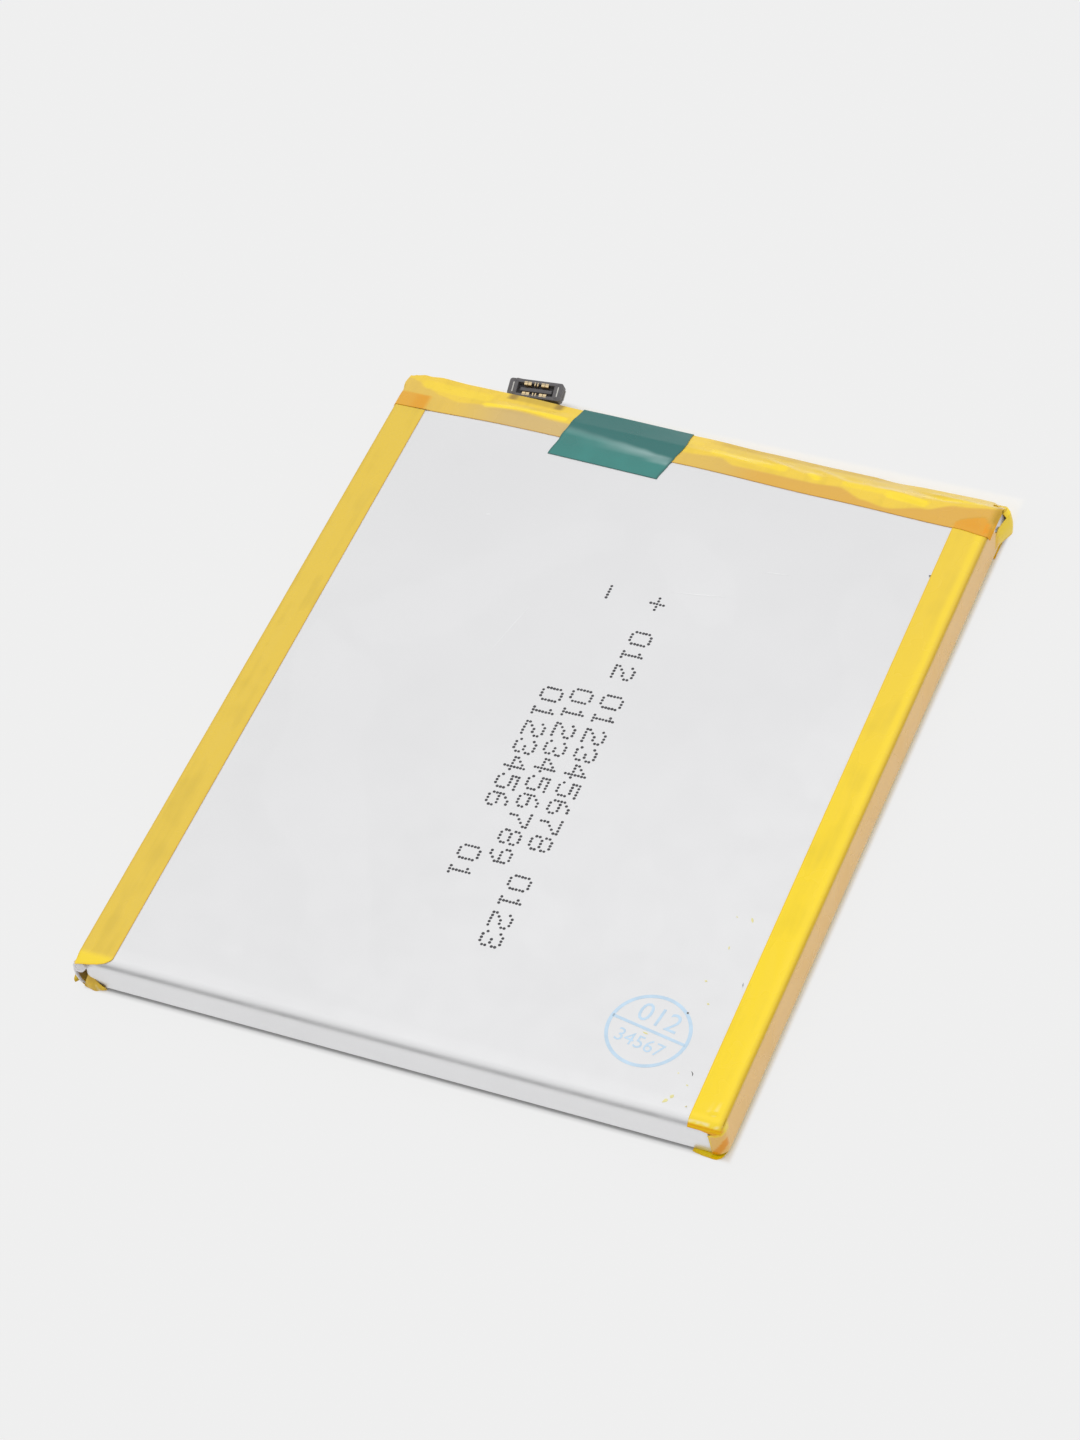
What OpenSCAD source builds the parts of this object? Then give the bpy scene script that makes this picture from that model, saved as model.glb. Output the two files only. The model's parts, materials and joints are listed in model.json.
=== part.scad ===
// Flat lithium-polymer pouch cell with a wound electrode roll, a protection board on its back seal,
// edge tapes and a connector on a short flex tail.
// X runs across the cell, Y along it towards the connector and Z up from the adhesive face.

/* [Cell body] */
// Length of the drawn cup from the front fold to the back wall
cup_l = 77.1; // [60:0.1:120]
// Width of the drawn cup at its base
cup_w = 63.7; // [55:0.1:90]
// Thickness of the closed cell over both films
cell_t = 4.07; // [3.4:0.01:8]
// Thickness of the pouch film
film_t = 0.11; // [0.08:0.01:0.16]
// Lean of each cup wall from its base to the face
wall_lean = 0.22; // [0:0.02:0.5]
// Plan radius of the cup's upright corners
corner_r = 2; // [1.3:0.1:4]
// Radius of the edge round the cup's face
edge_r = 0.9; // [0.4:0.05:1.1]
// Bond line between films, tapes and seals
bond = 0.01; // [0.005:0.005:0.03]

/* [Seals] */
// Gap between a cup wall and the foot of its folded side seal
seal_gap = 0.3; // [0.15:0.05:0.8]
// Inner radius of the side seal's fold
seal_bend_r = 0.3; // [0.15:0.05:0.6]
// Distance from the face down to the side seal's cut edge
seal_drop = 0.5; // [0.35:0.05:1.5]
// Depth of the flat back seal that carries the board
terrace_l = 2.1; // [2:0.1:5]
// Distance of the back seal's ends from the cup's sides
terrace_inset = 1.2; // [0.6:0.1:4]

/* [Electrode roll] */
// Thickness of the coated copper strip
anode_t = 0.1; // [0.06:0.01:0.2]
// Thickness of the coated aluminium strip
cathode_t = 0.09; // [0.06:0.01:0.2]
// Thickness of a separator strip
separator_t = 0.016; // [0.01:0.002:0.03]
// Gap between neighbouring layers
layer_gap = 0.006; // [0.004:0.001:0.02]
// Half the height of the empty core
core_r = 0.3; // [0.2:0.02:0.6]
// Gap above and below the roll
roll_gap = 0.1; // [0.06:0.01:0.3]
// Gap between the roll's round ends and the side walls
roll_side_gap = 0.35; // [0.2:0.05:1]
// Gap between the roll and the front wall
roll_front_gap = 0.4; // [0.2:0.05:1.5]
// Room between the roll and the back wall for the tabs
head_space = 1.7; // [1.4:0.1:5]
// How far the separators pass the anode at each end
separator_lap = 0.8; // [0.3:0.1:2]
// How far the anode passes the cathode at each end
anode_lap = 0.4; // [0.2:0.1:1.5]
// Width of the tape that holds the roll's outer end
roll_tape_w = 16; // [8:1:40]
// Thickness of the thin tapes inside the pouch
inner_tape_t = 0.03; // [0.02:0.005:0.04]

/* [Tabs] */
// Width of each tab
tab_w = 6; // [3:0.5:8]
// Thickness of each tab
tab_t = 0.08; // [0.06:0.01:0.15]
// Distance between the middles of the two tabs
tab_pitch = 18; // [16:1:26]
// Length of each tab inside the roll
tab_weld_l = 20; // [8:1:40]
// Thickness of one sealant film on a tab
sealant_t = 0.05; // [0.03:0.01:0.1]
// How far the sealant passes the tab at each side
sealant_margin = 1; // [0.4:0.1:1.5]
// How far the sealant reaches into the pouch past the seal
sealant_reach = 0.4; // [0.2:0.1:0.6]

/* [Protection board] */
// Length of the board across the cell
board_l = 44; // [40:1:48]
// Depth of the board
board_w = 1.7; // [1.6:0.05:1.8]
// Thickness of the board
board_t = 0.4; // [0.3:0.05:0.6]
// Middle of the board across the cell
board_x = -2; // [-4:0.5:0]
// Gap between the cup's back wall and the board
board_gap = 0.25; // [0.15:0.05:0.4]
// Thickness of the insulating pad on the back seal
pad_t = 0.26; // [0.15:0.01:0.5]
// Thickness of the nickel plates under the board
plate_t = 0.12; // [0.08:0.01:0.2]

/* [Chips on the board] */
// Height of the tallest chip, the switch chip
chip_h = 0.6; // [0.55:0.05:0.9]
// Clear height between the tallest chip and the end tape
chip_clear = 0.7; // [0.3:0.05:1]
// Distance from the board's left end to the first chip
chip_start = 11.5; // [8:0.5:14]
// Gap between neighbouring chips
chip_gap = 0.6; // [0.3:0.1:0.7]
// Length of the switch chip
mosfet_l = 3; // [2:0.1:4]
// Depth of the switch chip
mosfet_w = 1.5; // [1:0.1:1.5]
// Length of the protection chip
ic_l = 1.8; // [1.2:0.1:2.4]
// Depth of the protection chip
ic_w = 1.4; // [1:0.1:1.5]
// Height of the protection chip
ic_h = 0.55; // [0.4:0.05:0.55]
// Length of a small chip: resistor, capacitor or thermistor
small_l = 1; // [0.6:0.1:1.2]
// Depth of a small chip
small_w = 0.5; // [0.3:0.1:0.8]
// Height of a resistor
resistor_h = 0.35; // [0.2:0.05:0.5]
// Height of a capacitor and of the thermistor
capacitor_h = 0.5; // [0.3:0.05:0.55]
// Length of the chip fuse
fuse_l = 1.6; // [1:0.1:2]
// Depth of the chip fuse
fuse_w = 0.8; // [0.5:0.1:1.2]
// Height of the chip fuse
fuse_h = 0.45; // [0.3:0.05:0.55]
// Number of resistors
resistors = 4; // [1:1:5]
// Number of capacitors
capacitors = 3; // [1:1:4]

/* [Flex tail] */
// Width of the flex circuit
flex_w = 5.3; // [4.6:0.1:6]
// Thickness of the flex circuit
flex_t = 0.12; // [0.08:0.01:0.2]
// Free length of flex between the end tape and the bend's middle
flex_free = 0.42; // [0.36:0.02:1.5]
// Angle at which the tail stands up at rest
tail_lean = 20; // [0:1:30]
// Distance from the board's left end to the middle of the tail
tail_in = 4.4; // [3.2:0.1:5.6]
// Gap between the flex and its slot in the end tape
flex_slot_gap = 0.2; // [0.1:0.05:0.4]
// Thickness of the stiffener under the connector
stiffener_t = 0.2; // [0.1:0.05:0.3]
// How far the stiffener and flex pass the housing
tail_margin = 0.2; // [0.1:0.05:0.3]

/* [Connector] */
// Width of the connector housing
conn_w = 5.3; // [4.8:0.1:6]
// Depth of the connector housing
conn_d = 2; // [1.8:0.1:2.6]
// Height of the connector housing
conn_h = 0.85; // [0.7:0.05:1]
// Distance from the bend's middle to the housing
conn_start = 0.55; // [0.5:0.05:1]
// Thickness of the housing's walls
conn_wall = 0.36; // [0.3:0.02:0.44]
// Thickness of the housing's floor
conn_floor = 0.2; // [0.15:0.05:0.3]
// Depth of the tongue in the housing's middle
tongue_d = 0.42; // [0.3:0.02:0.5]
// Distance of the tongue's top below the housing's top
tongue_drop = 0.12; // [0.05:0.01:0.2]
// Thickness of the contact metal
contact_t = 0.07; // [0.05:0.01:0.1]
// Width of a power contact
power_w = 0.5; // [0.3:0.05:0.6]
// Width of a signal contact
signal_w = 0.18; // [0.12:0.02:0.24]
// Distance of the outer power contacts from the connector's middle
power_out = 1.85; // [1.7:0.05:1.95]
// Spacing of two neighbouring power contacts
power_step = 0.7; // [0.65:0.05:0.8]
// Spacing of the two signal contacts
signal_step = 0.48; // [0.4:0.02:0.6]
// Length of a contact's solder foot
foot_l = 0.15; // [0.1:0.01:0.2]
// Clearance of the contacts in their slots
contact_gap = 0.01; // [0.005:0.005:0.03]
// Thickness of the hold-down clips
clip_t = 0.12; // [0.08:0.01:0.2]

/* [Tapes] */
// Thickness of the tapes with their adhesive
tape_t = 0.06; // [0.04:0.005:0.1]
// Width of an edge tape's leg on the face
edge_tape_lap = 3.6; // [2:0.1:8]
// How far the edge tapes pass the front wall
edge_tape_overhang = 0.6; // [0:0.05:1.5]
// How far the end tape reaches over the cup's face
end_tape_lap = 2.9; // [1.5:0.1:6]
// Distance from the cup's back wall to the end tape's shoulder
shoulder_back = 0.9; // [0.5:0.1:1.2]
// Radius of the end tape's shoulder
shoulder_r = 1; // [0.6:0.1:1.5]
// Radius of the end tape's folds
tape_fold_r = 0.25; // [0.15:0.05:0.3]
// Gap between the tabs' bends and the end tape's back wall
end_gap = 0.06; // [0.04:0.01:0.2]
// Gap where two tapes meet edge to edge
butt_gap = 0.05; // [0.02:0.01:0.1]
// How far the loose ear of the end tape stands out at the right
ear_out = 0.9; // [0.3:0.1:1.5]
// Length of that ear
ear_l = 6; // [4:0.5:12]
// Width of the green tape
green_w = 12.1; // [6:0.1:20]
// Middle of the green tape across the cell
green_x = -8.1; // [-9:0.1:2]
// How far the green tape passes the end tape on the face
green_lap = 2.1; // [1:0.1:6]
// Length of the green tape down the back wall
green_drop = 1.2; // [0.4:0.1:1.6]

/* [Hidden] */

// Steps in a fold's arc and in half a turn of the roll
arc_steps = 6;
turn_steps = 8;
// Overshoot of a cutting shape
cut = 1;

// Heights of the films, from the adhesive face up
z_cover = tape_t + bond;
z_base = z_cover + film_t + bond;
z_face = z_cover + cell_t;
z_seal_top = z_face - seal_drop;

// Ends of the cup and of the back seal along the cell
cup_front = -40;
cup_back = cup_front + cup_l;
terrace_back = cup_back + terrace_l;

// Side seals: middle of the fold, lean angle and distance of the inner leaf from the middle
fold_x = cup_w / 2 + seal_gap - seal_bend_r;
fold_z = z_base + film_t + seal_bend_r;
lean = atan(wall_lean / cell_t);
leaf_d = fold_x * cos(lean) + fold_z * sin(lean) + seal_bend_r;

// Electrode roll
pitch = anode_t + cathode_t + 2 * separator_t + 4 * layer_gap;
roll_low = z_base + roll_gap + inner_tape_t;
roll_high = z_face - film_t - roll_gap;
roll_z = (roll_low + roll_high) / 2;
turns = max(1, floor(((roll_high - roll_low) / 2 - core_r) / pitch) - 1);
roll_r = core_r + (turns + 1) * pitch;
roll_arc_x = cup_w / 2 - wall_lean - film_t - roll_side_gap - roll_r;
roll_front = cup_front + wall_lean + film_t + roll_front_gap;
roll_back = cup_back - wall_lean - film_t - head_space;

// Tabs between the sealant films, and the stack on the back seal
z_tab = z_cover + film_t + bond + sealant_t + tab_t / 2;
z_tunnel = z_tab + tab_t / 2 + sealant_t + bond;
z_pad = z_tunnel + film_t + bond;
z_weld = z_pad + pad_t + bond + tab_t / 2;
z_plate = z_weld + tab_t / 2;
z_board = z_plate + plate_t;
z_board_top = z_board + board_t;
tab_bend_r = (z_weld - z_tab) / 2;
board_front = cup_back + board_gap;

// Row of chips from the left: number of the first chip of a kind and the lengths of all
first_resistor = 2;
first_capacitor = first_resistor + resistors;
fuse_number = first_capacitor + capacitors;
chip_lengths = concat([mosfet_l, ic_l], [for (i = [1:resistors + capacitors]) small_l],
    [fuse_l, small_l]);

// End tape: inner face of its back wall, middle of its back fold and the slope between its folds
end_wall_y = terrace_back + tab_bend_r + tab_t / 2 + end_gap;
end_front = cup_back - end_tape_lap;
back_fold = [end_wall_y - tape_fold_r, z_board_top + chip_h + chip_clear - tape_fold_r];
shoulder = [cup_back - shoulder_back, z_face - shoulder_r];
slope_run = back_fold - shoulder;
slope_a = atan2(slope_run[1], slope_run[0]) + acos((shoulder_r - tape_fold_r) / norm(slope_run));
end_half_w = (leaf_d + 2 * film_t + 2 * bond + tape_t - z_face * sin(lean)) / cos(lean);

// Flex tail: the bend's axis, and heights above the flex's middle
hinge_y = end_wall_y + tape_t + flex_free;
hinge_z = z_board_top + bond + flex_t / 2;
conn_low = flex_t / 2 + bond;
conn_top = conn_low + conn_h;
conn_end = conn_start + conn_d;
tail_end = conn_end + tail_margin;
tail_x = board_x - board_l / 2 + tail_in;
power_xs = [for (s = [-1, 1], out = [power_out, power_out - power_step]) s * out];
signal_xs = [for (s = [-1, 1]) s * signal_step / 2];

// Points of an arc
function arc(middle, r, from, to) = [for (i = [0:arc_steps])
    let (a = from + (to - from) * i / arc_steps) middle + r * [cos(a), sin(a)]];

// Offset of a path's point for a strip of unit half thickness, mitred at the bends
function unit(v) = v / norm(v);
function side(v) = [-v[1], v[0]];
function mitre(path, i) =
    let (last = len(path) - 1,
         before = unit(path[max(i, 1)] - path[max(i, 1) - 1]),
         after = unit(path[min(i, last - 1) + 1] - path[min(i, last - 1)]),
         m = unit(side(before) + side(after)))
    m / (m * side(before));

// Outline of a strip of thickness t that follows a path
function strip(path, t) = let (last = len(path) - 1) concat(
    [for (i = [0:last]) path[i] + mitre(path, i) * t / 2],
    [for (i = [last:-1:0]) path[i] - mitre(path, i) * t / 2]);

// A profile in X and Z, drawn along the cell
module along_y(from, to) {
    translate([0, to, 0]) rotate([90, 0, 0]) linear_extrude(to - from) children();
}

// A profile in Y and Z, drawn across the cell
module along_x(from, to) {
    translate([from, 0, 0]) rotate([90, 0, 90]) linear_extrude(to - from) children();
}

// A block from its two corners
module block(low, high) {
    translate(low) cube(high - low);
}

// Both sides of the cell
module both_sides() {
    children();
    mirror([1, 0, 0]) children();
}

// Places what is drawn flat on the flex tail at its rest angle
module on_tail() {
    translate([tail_x, hinge_y, hinge_z]) rotate([tail_lean, 0, 0]) children();
}

// The drawn cup's form, inset from its outside
module cup_form(inset) {
    hull() for (sx = [-1, 1], end = [0, 1]) {
        x = cup_w / 2 - corner_r;
        y = end == 0 ? cup_front + corner_r : cup_back - corner_r;
        dy = end == 0 ? wall_lean : -wall_lean;
        translate([sx * x, y, z_base - inset])
            cylinder(r = corner_r - inset, h = film_t + inset, $fn = 32);
        translate([sx * (x - wall_lean), y + dy, z_face - edge_r])
            rotate_extrude($fn = 32) translate([corner_r - edge_r, 0])
                intersection() {
                    circle(edge_r - inset, $fn = 32);
                    translate([0, -edge_r]) square(2 * edge_r);
                }
    }
}

// One leaf of the right side seal, folded up along the wall: 0 is the cup's film, 1 the cover's
module seal_leaf(layer) {
    r = seal_bend_r + film_t * (layer + 0.5) + bond * layer;
    d = leaf_d - seal_bend_r + r;
    path = concat([[cup_w / 2 - film_t, fold_z - r]],
        arc([fold_x, fold_z], r, -90, lean),
        [[(d - z_seal_top * sin(lean)) / cos(lean), z_seal_top]]);
    along_y(cup_front, cup_back) polygon(strip(path, film_t));
}

// Space under the back seal's film where a tab passes
module tab_tunnel(x) {
    half = tab_w / 2 + sealant_margin + bond;
    block([x - half, cup_back - film_t - cut, z_base - cut],
          [x + half, terrace_back + cut, z_tunnel]);
}

// Film raised over that space
module tab_bulge(x) {
    half = tab_w / 2 + sealant_margin + bond + film_t;
    block([x - half, cup_back - film_t, z_base], [x + half, terrace_back, z_tunnel + film_t]);
}

module pouch_cup() {
    color("gainsboro") difference() {
        union() {
            difference() {
                cup_form(0);
                cup_form(film_t);
            }
            both_sides() seal_leaf(0);
            block([-cup_w / 2 + terrace_inset, cup_back - film_t, z_base],
                  [cup_w / 2 - terrace_inset, terrace_back, z_base + film_t]);
            for (s = [-1, 1]) tab_bulge(s * tab_pitch / 2);
        }
        for (s = [-1, 1]) tab_tunnel(s * tab_pitch / 2);
    }
}

// The cover's panel between the tapes is embossed down to the adhesive face
module pouch_cover() {
    panel_x = cup_w / 2 - edge_tape_lap + butt_gap;
    panel_back = end_front - butt_gap;
    color("silver") union() {
        difference() {
            union() {
                block([-cup_w / 2, cup_front, z_cover], [cup_w / 2, cup_back, z_cover + film_t]);
                block([-cup_w / 2 + terrace_inset, cup_back - film_t, z_cover],
                      [cup_w / 2 - terrace_inset, terrace_back, z_cover + film_t]);
                both_sides() seal_leaf(1);
            }
            block([-panel_x + film_t, cup_front - cut, z_cover - cut],
                  [panel_x - film_t, panel_back - film_t, z_cover + film_t + cut]);
        }
        block([-panel_x, cup_front, 0], [panel_x, panel_back, film_t]);
    }
}

// Path of a wound strip from the core outwards, as a flat spiral
function winding(start) = let (low = -90, half_turns = 2 * turns) concat(
    [[-roll_arc_x, -start]],
    [for (h = [0:half_turns - 1], i = [0:turn_steps])
        let (a = low + 180 * (h + i / turn_steps),
             r = start + pitch * (a - low) / 360)
        [(h % 2 == 0 ? 1 : -1) * roll_arc_x + r * cos(a), r * sin(a)]]);

// A wound strip: radius of its middle at the core, thickness and lap at both ends
module wound_strip(start, t, lap) {
    along_y(roll_front + lap, roll_back - lap)
        translate([0, roll_z]) polygon(strip(winding(start), t));
}

module separator_inner() {
    color("white") wound_strip(core_r + separator_t / 2, separator_t, 0);
}

module anode_strip() {
    color("dimgray")
        wound_strip(core_r + separator_t + layer_gap + anode_t / 2, anode_t, separator_lap);
}

module separator_outer() {
    color("white")
        wound_strip(core_r + 1.5 * separator_t + 2 * layer_gap + anode_t, separator_t, 0);
}

module cathode_strip() {
    color("slategray")
        wound_strip(core_r + 2 * separator_t + 3 * layer_gap + anode_t + cathode_t / 2,
                    cathode_t, separator_lap + anode_lap);
}

module roll_end_tape() {
    low = roll_z - roll_r - layer_gap - inner_tape_t;
    color("mediumseagreen")
        block([-roll_tape_w / 2, roll_front + separator_lap, low],
              [roll_tape_w / 2, roll_back - separator_lap, low + inner_tape_t]);
}

// A tab from the roll's core, down to the seal, out and folded back under the board
module tab(x) {
    down_y = cup_back - film_t - sealant_reach - sealant_t;
    path = concat([[roll_back - tab_weld_l, roll_z], [roll_back + tab_t, roll_z],
                   [down_y, z_tab]],
        arc([terrace_back, z_tab + tab_bend_r], tab_bend_r, -90, 90),
        [[board_front, z_weld]]);
    along_x(x - tab_w / 2, x + tab_w / 2) polygon(strip(path, tab_t));
}

module positive_tab() {
    color("lightgray") tab(tab_pitch / 2);
}

module negative_tab() {
    color("darkgray") tab(-tab_pitch / 2);
}

// The two sealant films of a tab, below and above it
module tab_sealant(x) {
    half = tab_w / 2 + sealant_margin;
    for (low = [z_tab - tab_t / 2 - sealant_t, z_tab + tab_t / 2])
        block([x - half, cup_back - film_t - sealant_reach, low],
              [x + half, terrace_back, low + sealant_t]);
}

module positive_tab_sealant() {
    color("ivory") tab_sealant(tab_pitch / 2);
}

module negative_tab_sealant() {
    color("ivory") tab_sealant(-tab_pitch / 2);
}

module tab_guard_tapes() {
    half = tab_w / 2 + sealant_margin;
    low = roll_z + tab_t / 2 + bond;
    color("khaki") for (s = [-1, 1])
        translate([s * tab_pitch / 2, 0, 0])
            block([-half, roll_back - tab_weld_l - sealant_margin, low],
                  [half, roll_back - bond, low + inner_tape_t]);
}

module terrace_pad() {
    half = tab_pitch / 2 + tab_w / 2 + 2 * sealant_margin;
    color("whitesmoke") block([-half, board_front, z_pad], [half, terrace_back - bond, z_pad + pad_t]);
}

module weld_plates() {
    color("silver") for (s = [-1, 1])
        translate([s * tab_pitch / 2, 0, 0])
            block([-tab_w / 2, board_front, z_plate],
                  [tab_w / 2, board_front + board_w, z_plate + plate_t]);
}

module protection_board() {
    color("darkgreen")
        block([board_x - board_l / 2, board_front, z_board],
              [board_x + board_l / 2, board_front + board_w, z_board_top]);
}

// Distance from the start of the row to a chip's left end
function chip_offset(number) = number == 0 ? 0
    : chip_offset(number - 1) + chip_lengths[number - 1] + chip_gap;

// The chip with that number in the row, of a depth and height
module chip(number, depth, height) {
    translate([board_x - board_l / 2 + chip_start + chip_offset(number),
               board_front + (board_w - depth) / 2, z_board_top])
        cube([chip_lengths[number], depth, height]);
}

module mosfet() {
    color("dimgray") chip(0, mosfet_w, chip_h);
}

module protection_ic() {
    color("dimgray") chip(1, ic_w, ic_h);
}

module chip_resistors() {
    color("black") for (i = [0:resistors - 1]) chip(first_resistor + i, small_w, resistor_h);
}

module chip_capacitors() {
    color("tan") for (i = [0:capacitors - 1]) chip(first_capacitor + i, small_w, capacitor_h);
}

module chip_fuse() {
    color("beige") chip(fuse_number, fuse_w, fuse_h);
}

module thermistor() {
    color("saddlebrown") chip(fuse_number + 1, small_w, capacitor_h);
}

module flex_circuit() {
    path = [[board_front + tail_margin, hinge_z], [hinge_y, hinge_z],
            [hinge_y, hinge_z] + tail_end * [cos(tail_lean), sin(tail_lean)]];
    color("darkgoldenrod")
        along_x(tail_x - flex_w / 2, tail_x + flex_w / 2) polygon(strip(path, flex_t));
}

module flex_stiffener() {
    color("goldenrod") on_tail()
        block([-flex_w / 2, conn_start - tail_margin, -flex_t / 2 - bond - stiffener_t],
              [flex_w / 2, tail_end, -flex_t / 2 - bond]);
}

// One contact folded over the housing's far wall, grown for its slot
module contact(x, w, grow) {
    inside = conn_end - conn_wall;
    path = [[conn_end + foot_l, conn_low + contact_t / 2],
            [conn_end - contact_t / 2, conn_low + contact_t / 2],
            [conn_end - contact_t / 2, conn_top - contact_t / 2],
            [inside + contact_t / 2, conn_top - contact_t / 2],
            [inside + contact_t / 2, conn_low + conn_floor + contact_t]];
    along_x(x - w / 2 - grow, x + w / 2 + grow) polygon(strip(path, contact_t + 2 * grow));
}

// Contacts of one width in both long walls
module contact_rows(xs, w, grow) {
    for (x = xs) {
        contact(x, w, grow);
        translate([0, 2 * conn_start + conn_d, 0]) mirror([0, 1, 0]) contact(x, w, grow);
    }
}

module connector_housing() {
    tongue_in = (conn_d - tongue_d) / 2;
    color([0.2, 0.19, 0.18]) on_tail() difference() {
        union() {
            difference() {
                block([-conn_w / 2, conn_start, conn_low], [conn_w / 2, conn_end, conn_top]);
                block([-conn_w / 2 + conn_wall, conn_start + conn_wall, conn_low + conn_floor],
                      [conn_w / 2 - conn_wall, conn_end - conn_wall, conn_top + cut]);
            }
            block([-conn_w / 2 + 2 * conn_wall, conn_start + tongue_in, conn_low],
                  [conn_w / 2 - 2 * conn_wall, conn_end - tongue_in, conn_top - tongue_drop]);
        }
        contact_rows(power_xs, power_w, contact_gap);
        contact_rows(signal_xs, signal_w, contact_gap);
    }
}

module power_contacts() {
    color("gold") on_tail() contact_rows(power_xs, power_w, 0);
}

module signal_contacts() {
    color("gold") on_tail() contact_rows(signal_xs, signal_w, 0);
}

// Hold-down clips on the housing's ends, with a lip over each end wall
module hold_down_clips() {
    lip = conn_wall + clip_t;
    color("lightgray") on_tail() both_sides()
        translate([conn_w / 2 + bond, 0, 0]) union() {
            block([clip_t - lip, conn_start + conn_wall, conn_top + bond],
                  [clip_t, conn_end - conn_wall, conn_top + bond + contact_t]);
            block([0, conn_start + conn_wall, conn_low],
                  [clip_t, conn_end - conn_wall, conn_top + bond + contact_t]);
        }
}

// An edge tape over the right side seal, from the face round to the underside. Behind the end tape's
// front edge only its wall goes on, to the end of the side seal.
module edge_tape() {
    lift = bond + tape_t / 2;
    low_r = seal_bend_r + 2 * film_t + bond + lift;
    d = leaf_d - seal_bend_r + low_r;
    high_r = seal_drop - 2 * bond;
    high_z = z_face + lift - high_r;
    high_x = (d - high_r - high_z * sin(lean)) / cos(lean);
    inner = cup_w / 2 - edge_tape_lap + 2 * butt_gap;
    outward = [cos(lean), sin(lean)];
    wall = [[high_x, high_z] + high_r * outward, [fold_x, fold_z] + low_r * outward];
    path = concat([[inner, z_face + lift]],
        arc([high_x, high_z], high_r, 90, lean),
        arc([fold_x, fold_z], low_r, lean, -90),
        [[inner, z_cover - lift]]);
    legs_back = end_front - butt_gap;
    union() {
        along_y(cup_front - edge_tape_overhang, legs_back) polygon(strip(path, tape_t));
        along_y(legs_back - tape_t, cup_back) polygon(strip(wall, tape_t));
    }
}

module right_edge_tape() {
    color([0.96, 0.83, 0.3]) edge_tape();
}

module left_edge_tape() {
    color([0.91, 0.78, 0.33]) mirror([1, 0, 0]) edge_tape();
}

// Path over the board end at a height above its surface, from the face to the top of the back wall
function end_path(from, lift) = concat([[from, z_face + lift]],
    arc(shoulder, shoulder_r + lift, 90, slope_a),
    arc(back_fold, tape_fold_r + lift, slope_a, 0));

module end_tape() {
    lift = bond + tape_t / 2;
    low_fold = [back_fold[0], z_cover + tape_fold_r];
    path = concat(end_path(end_front, lift),
        arc(low_fold, tape_fold_r + lift, 0, -90),
        [[end_front, z_cover - lift]]);
    side_y = cup_back + board_gap;
    ear_x = end_half_w - tape_t / 2;
    ear_z = [z_board, back_fold[1]];
    ear_path = [[ear_x, side_y + ear_out], [ear_x + ear_out, side_y - ear_out],
                [ear_x + ear_out, side_y - ear_l / 2], [ear_x + ear_out / 2, side_y - ear_l]];
    color([0.95, 0.8, 0.36]) difference() {
        union() {
            along_x(-end_half_w, end_half_w) polygon(strip(path, tape_t));
            both_sides() intersection() {
                along_x(end_half_w - tape_t, end_half_w) polygon(path);
                block([0, side_y, -cut], [end_half_w + cut, end_wall_y + cut, z_face + cut]);
            }
            translate([0, 0, ear_z[0]]) linear_extrude(ear_z[1] - ear_z[0])
                polygon(strip(ear_path, tape_t));
        }
        block([tail_x - flex_w / 2 - flex_slot_gap, end_wall_y - flex_slot_gap,
               hinge_z - flex_t / 2 - flex_slot_gap],
              [tail_x + flex_w / 2 + flex_slot_gap, end_wall_y + tape_t + cut,
               hinge_z + flex_t / 2 + flex_slot_gap]);
    }
}

// The green tape lies on the face, steps up onto the end tape and goes down the back wall
module green_tape() {
    low = bond + tape_t / 2;
    high = low + tape_t + bond;
    step_y = end_front - butt_gap;
    over = end_path(end_front, high);
    last = over[len(over) - 1];
    path = concat([[end_front - green_lap, z_face + low],
                   [step_y - 2 * tape_t, z_face + low],
                   [step_y, z_face + high]],
        [for (i = [1:len(over) - 1]) over[i]],
        [last - [0, green_drop]]);
    color([0.32, 0.55, 0.53])
        along_x(green_x - green_w / 2, green_x + green_w / 2) polygon(strip(path, tape_t));
}

pouch_cup();
pouch_cover();
anode_strip();
cathode_strip();
separator_inner();
separator_outer();
roll_end_tape();
positive_tab();
negative_tab();
positive_tab_sealant();
negative_tab_sealant();
tab_guard_tapes();
terrace_pad();
weld_plates();
protection_board();
protection_ic();
mosfet();
chip_fuse();
thermistor();
chip_resistors();
chip_capacitors();
flex_circuit();
flex_stiffener();
connector_housing();
power_contacts();
signal_contacts();
hold_down_clips();
left_edge_tape();
right_edge_tape();
end_tape();
green_tape();
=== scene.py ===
"""Looks of a pouch battery cell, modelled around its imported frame."""

import json
import math
from types import SimpleNamespace

import bmesh
import bpy
from bpy.props import FloatProperty, FloatVectorProperty, PointerProperty
from mathutils import Matrix, Vector, noise


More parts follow.
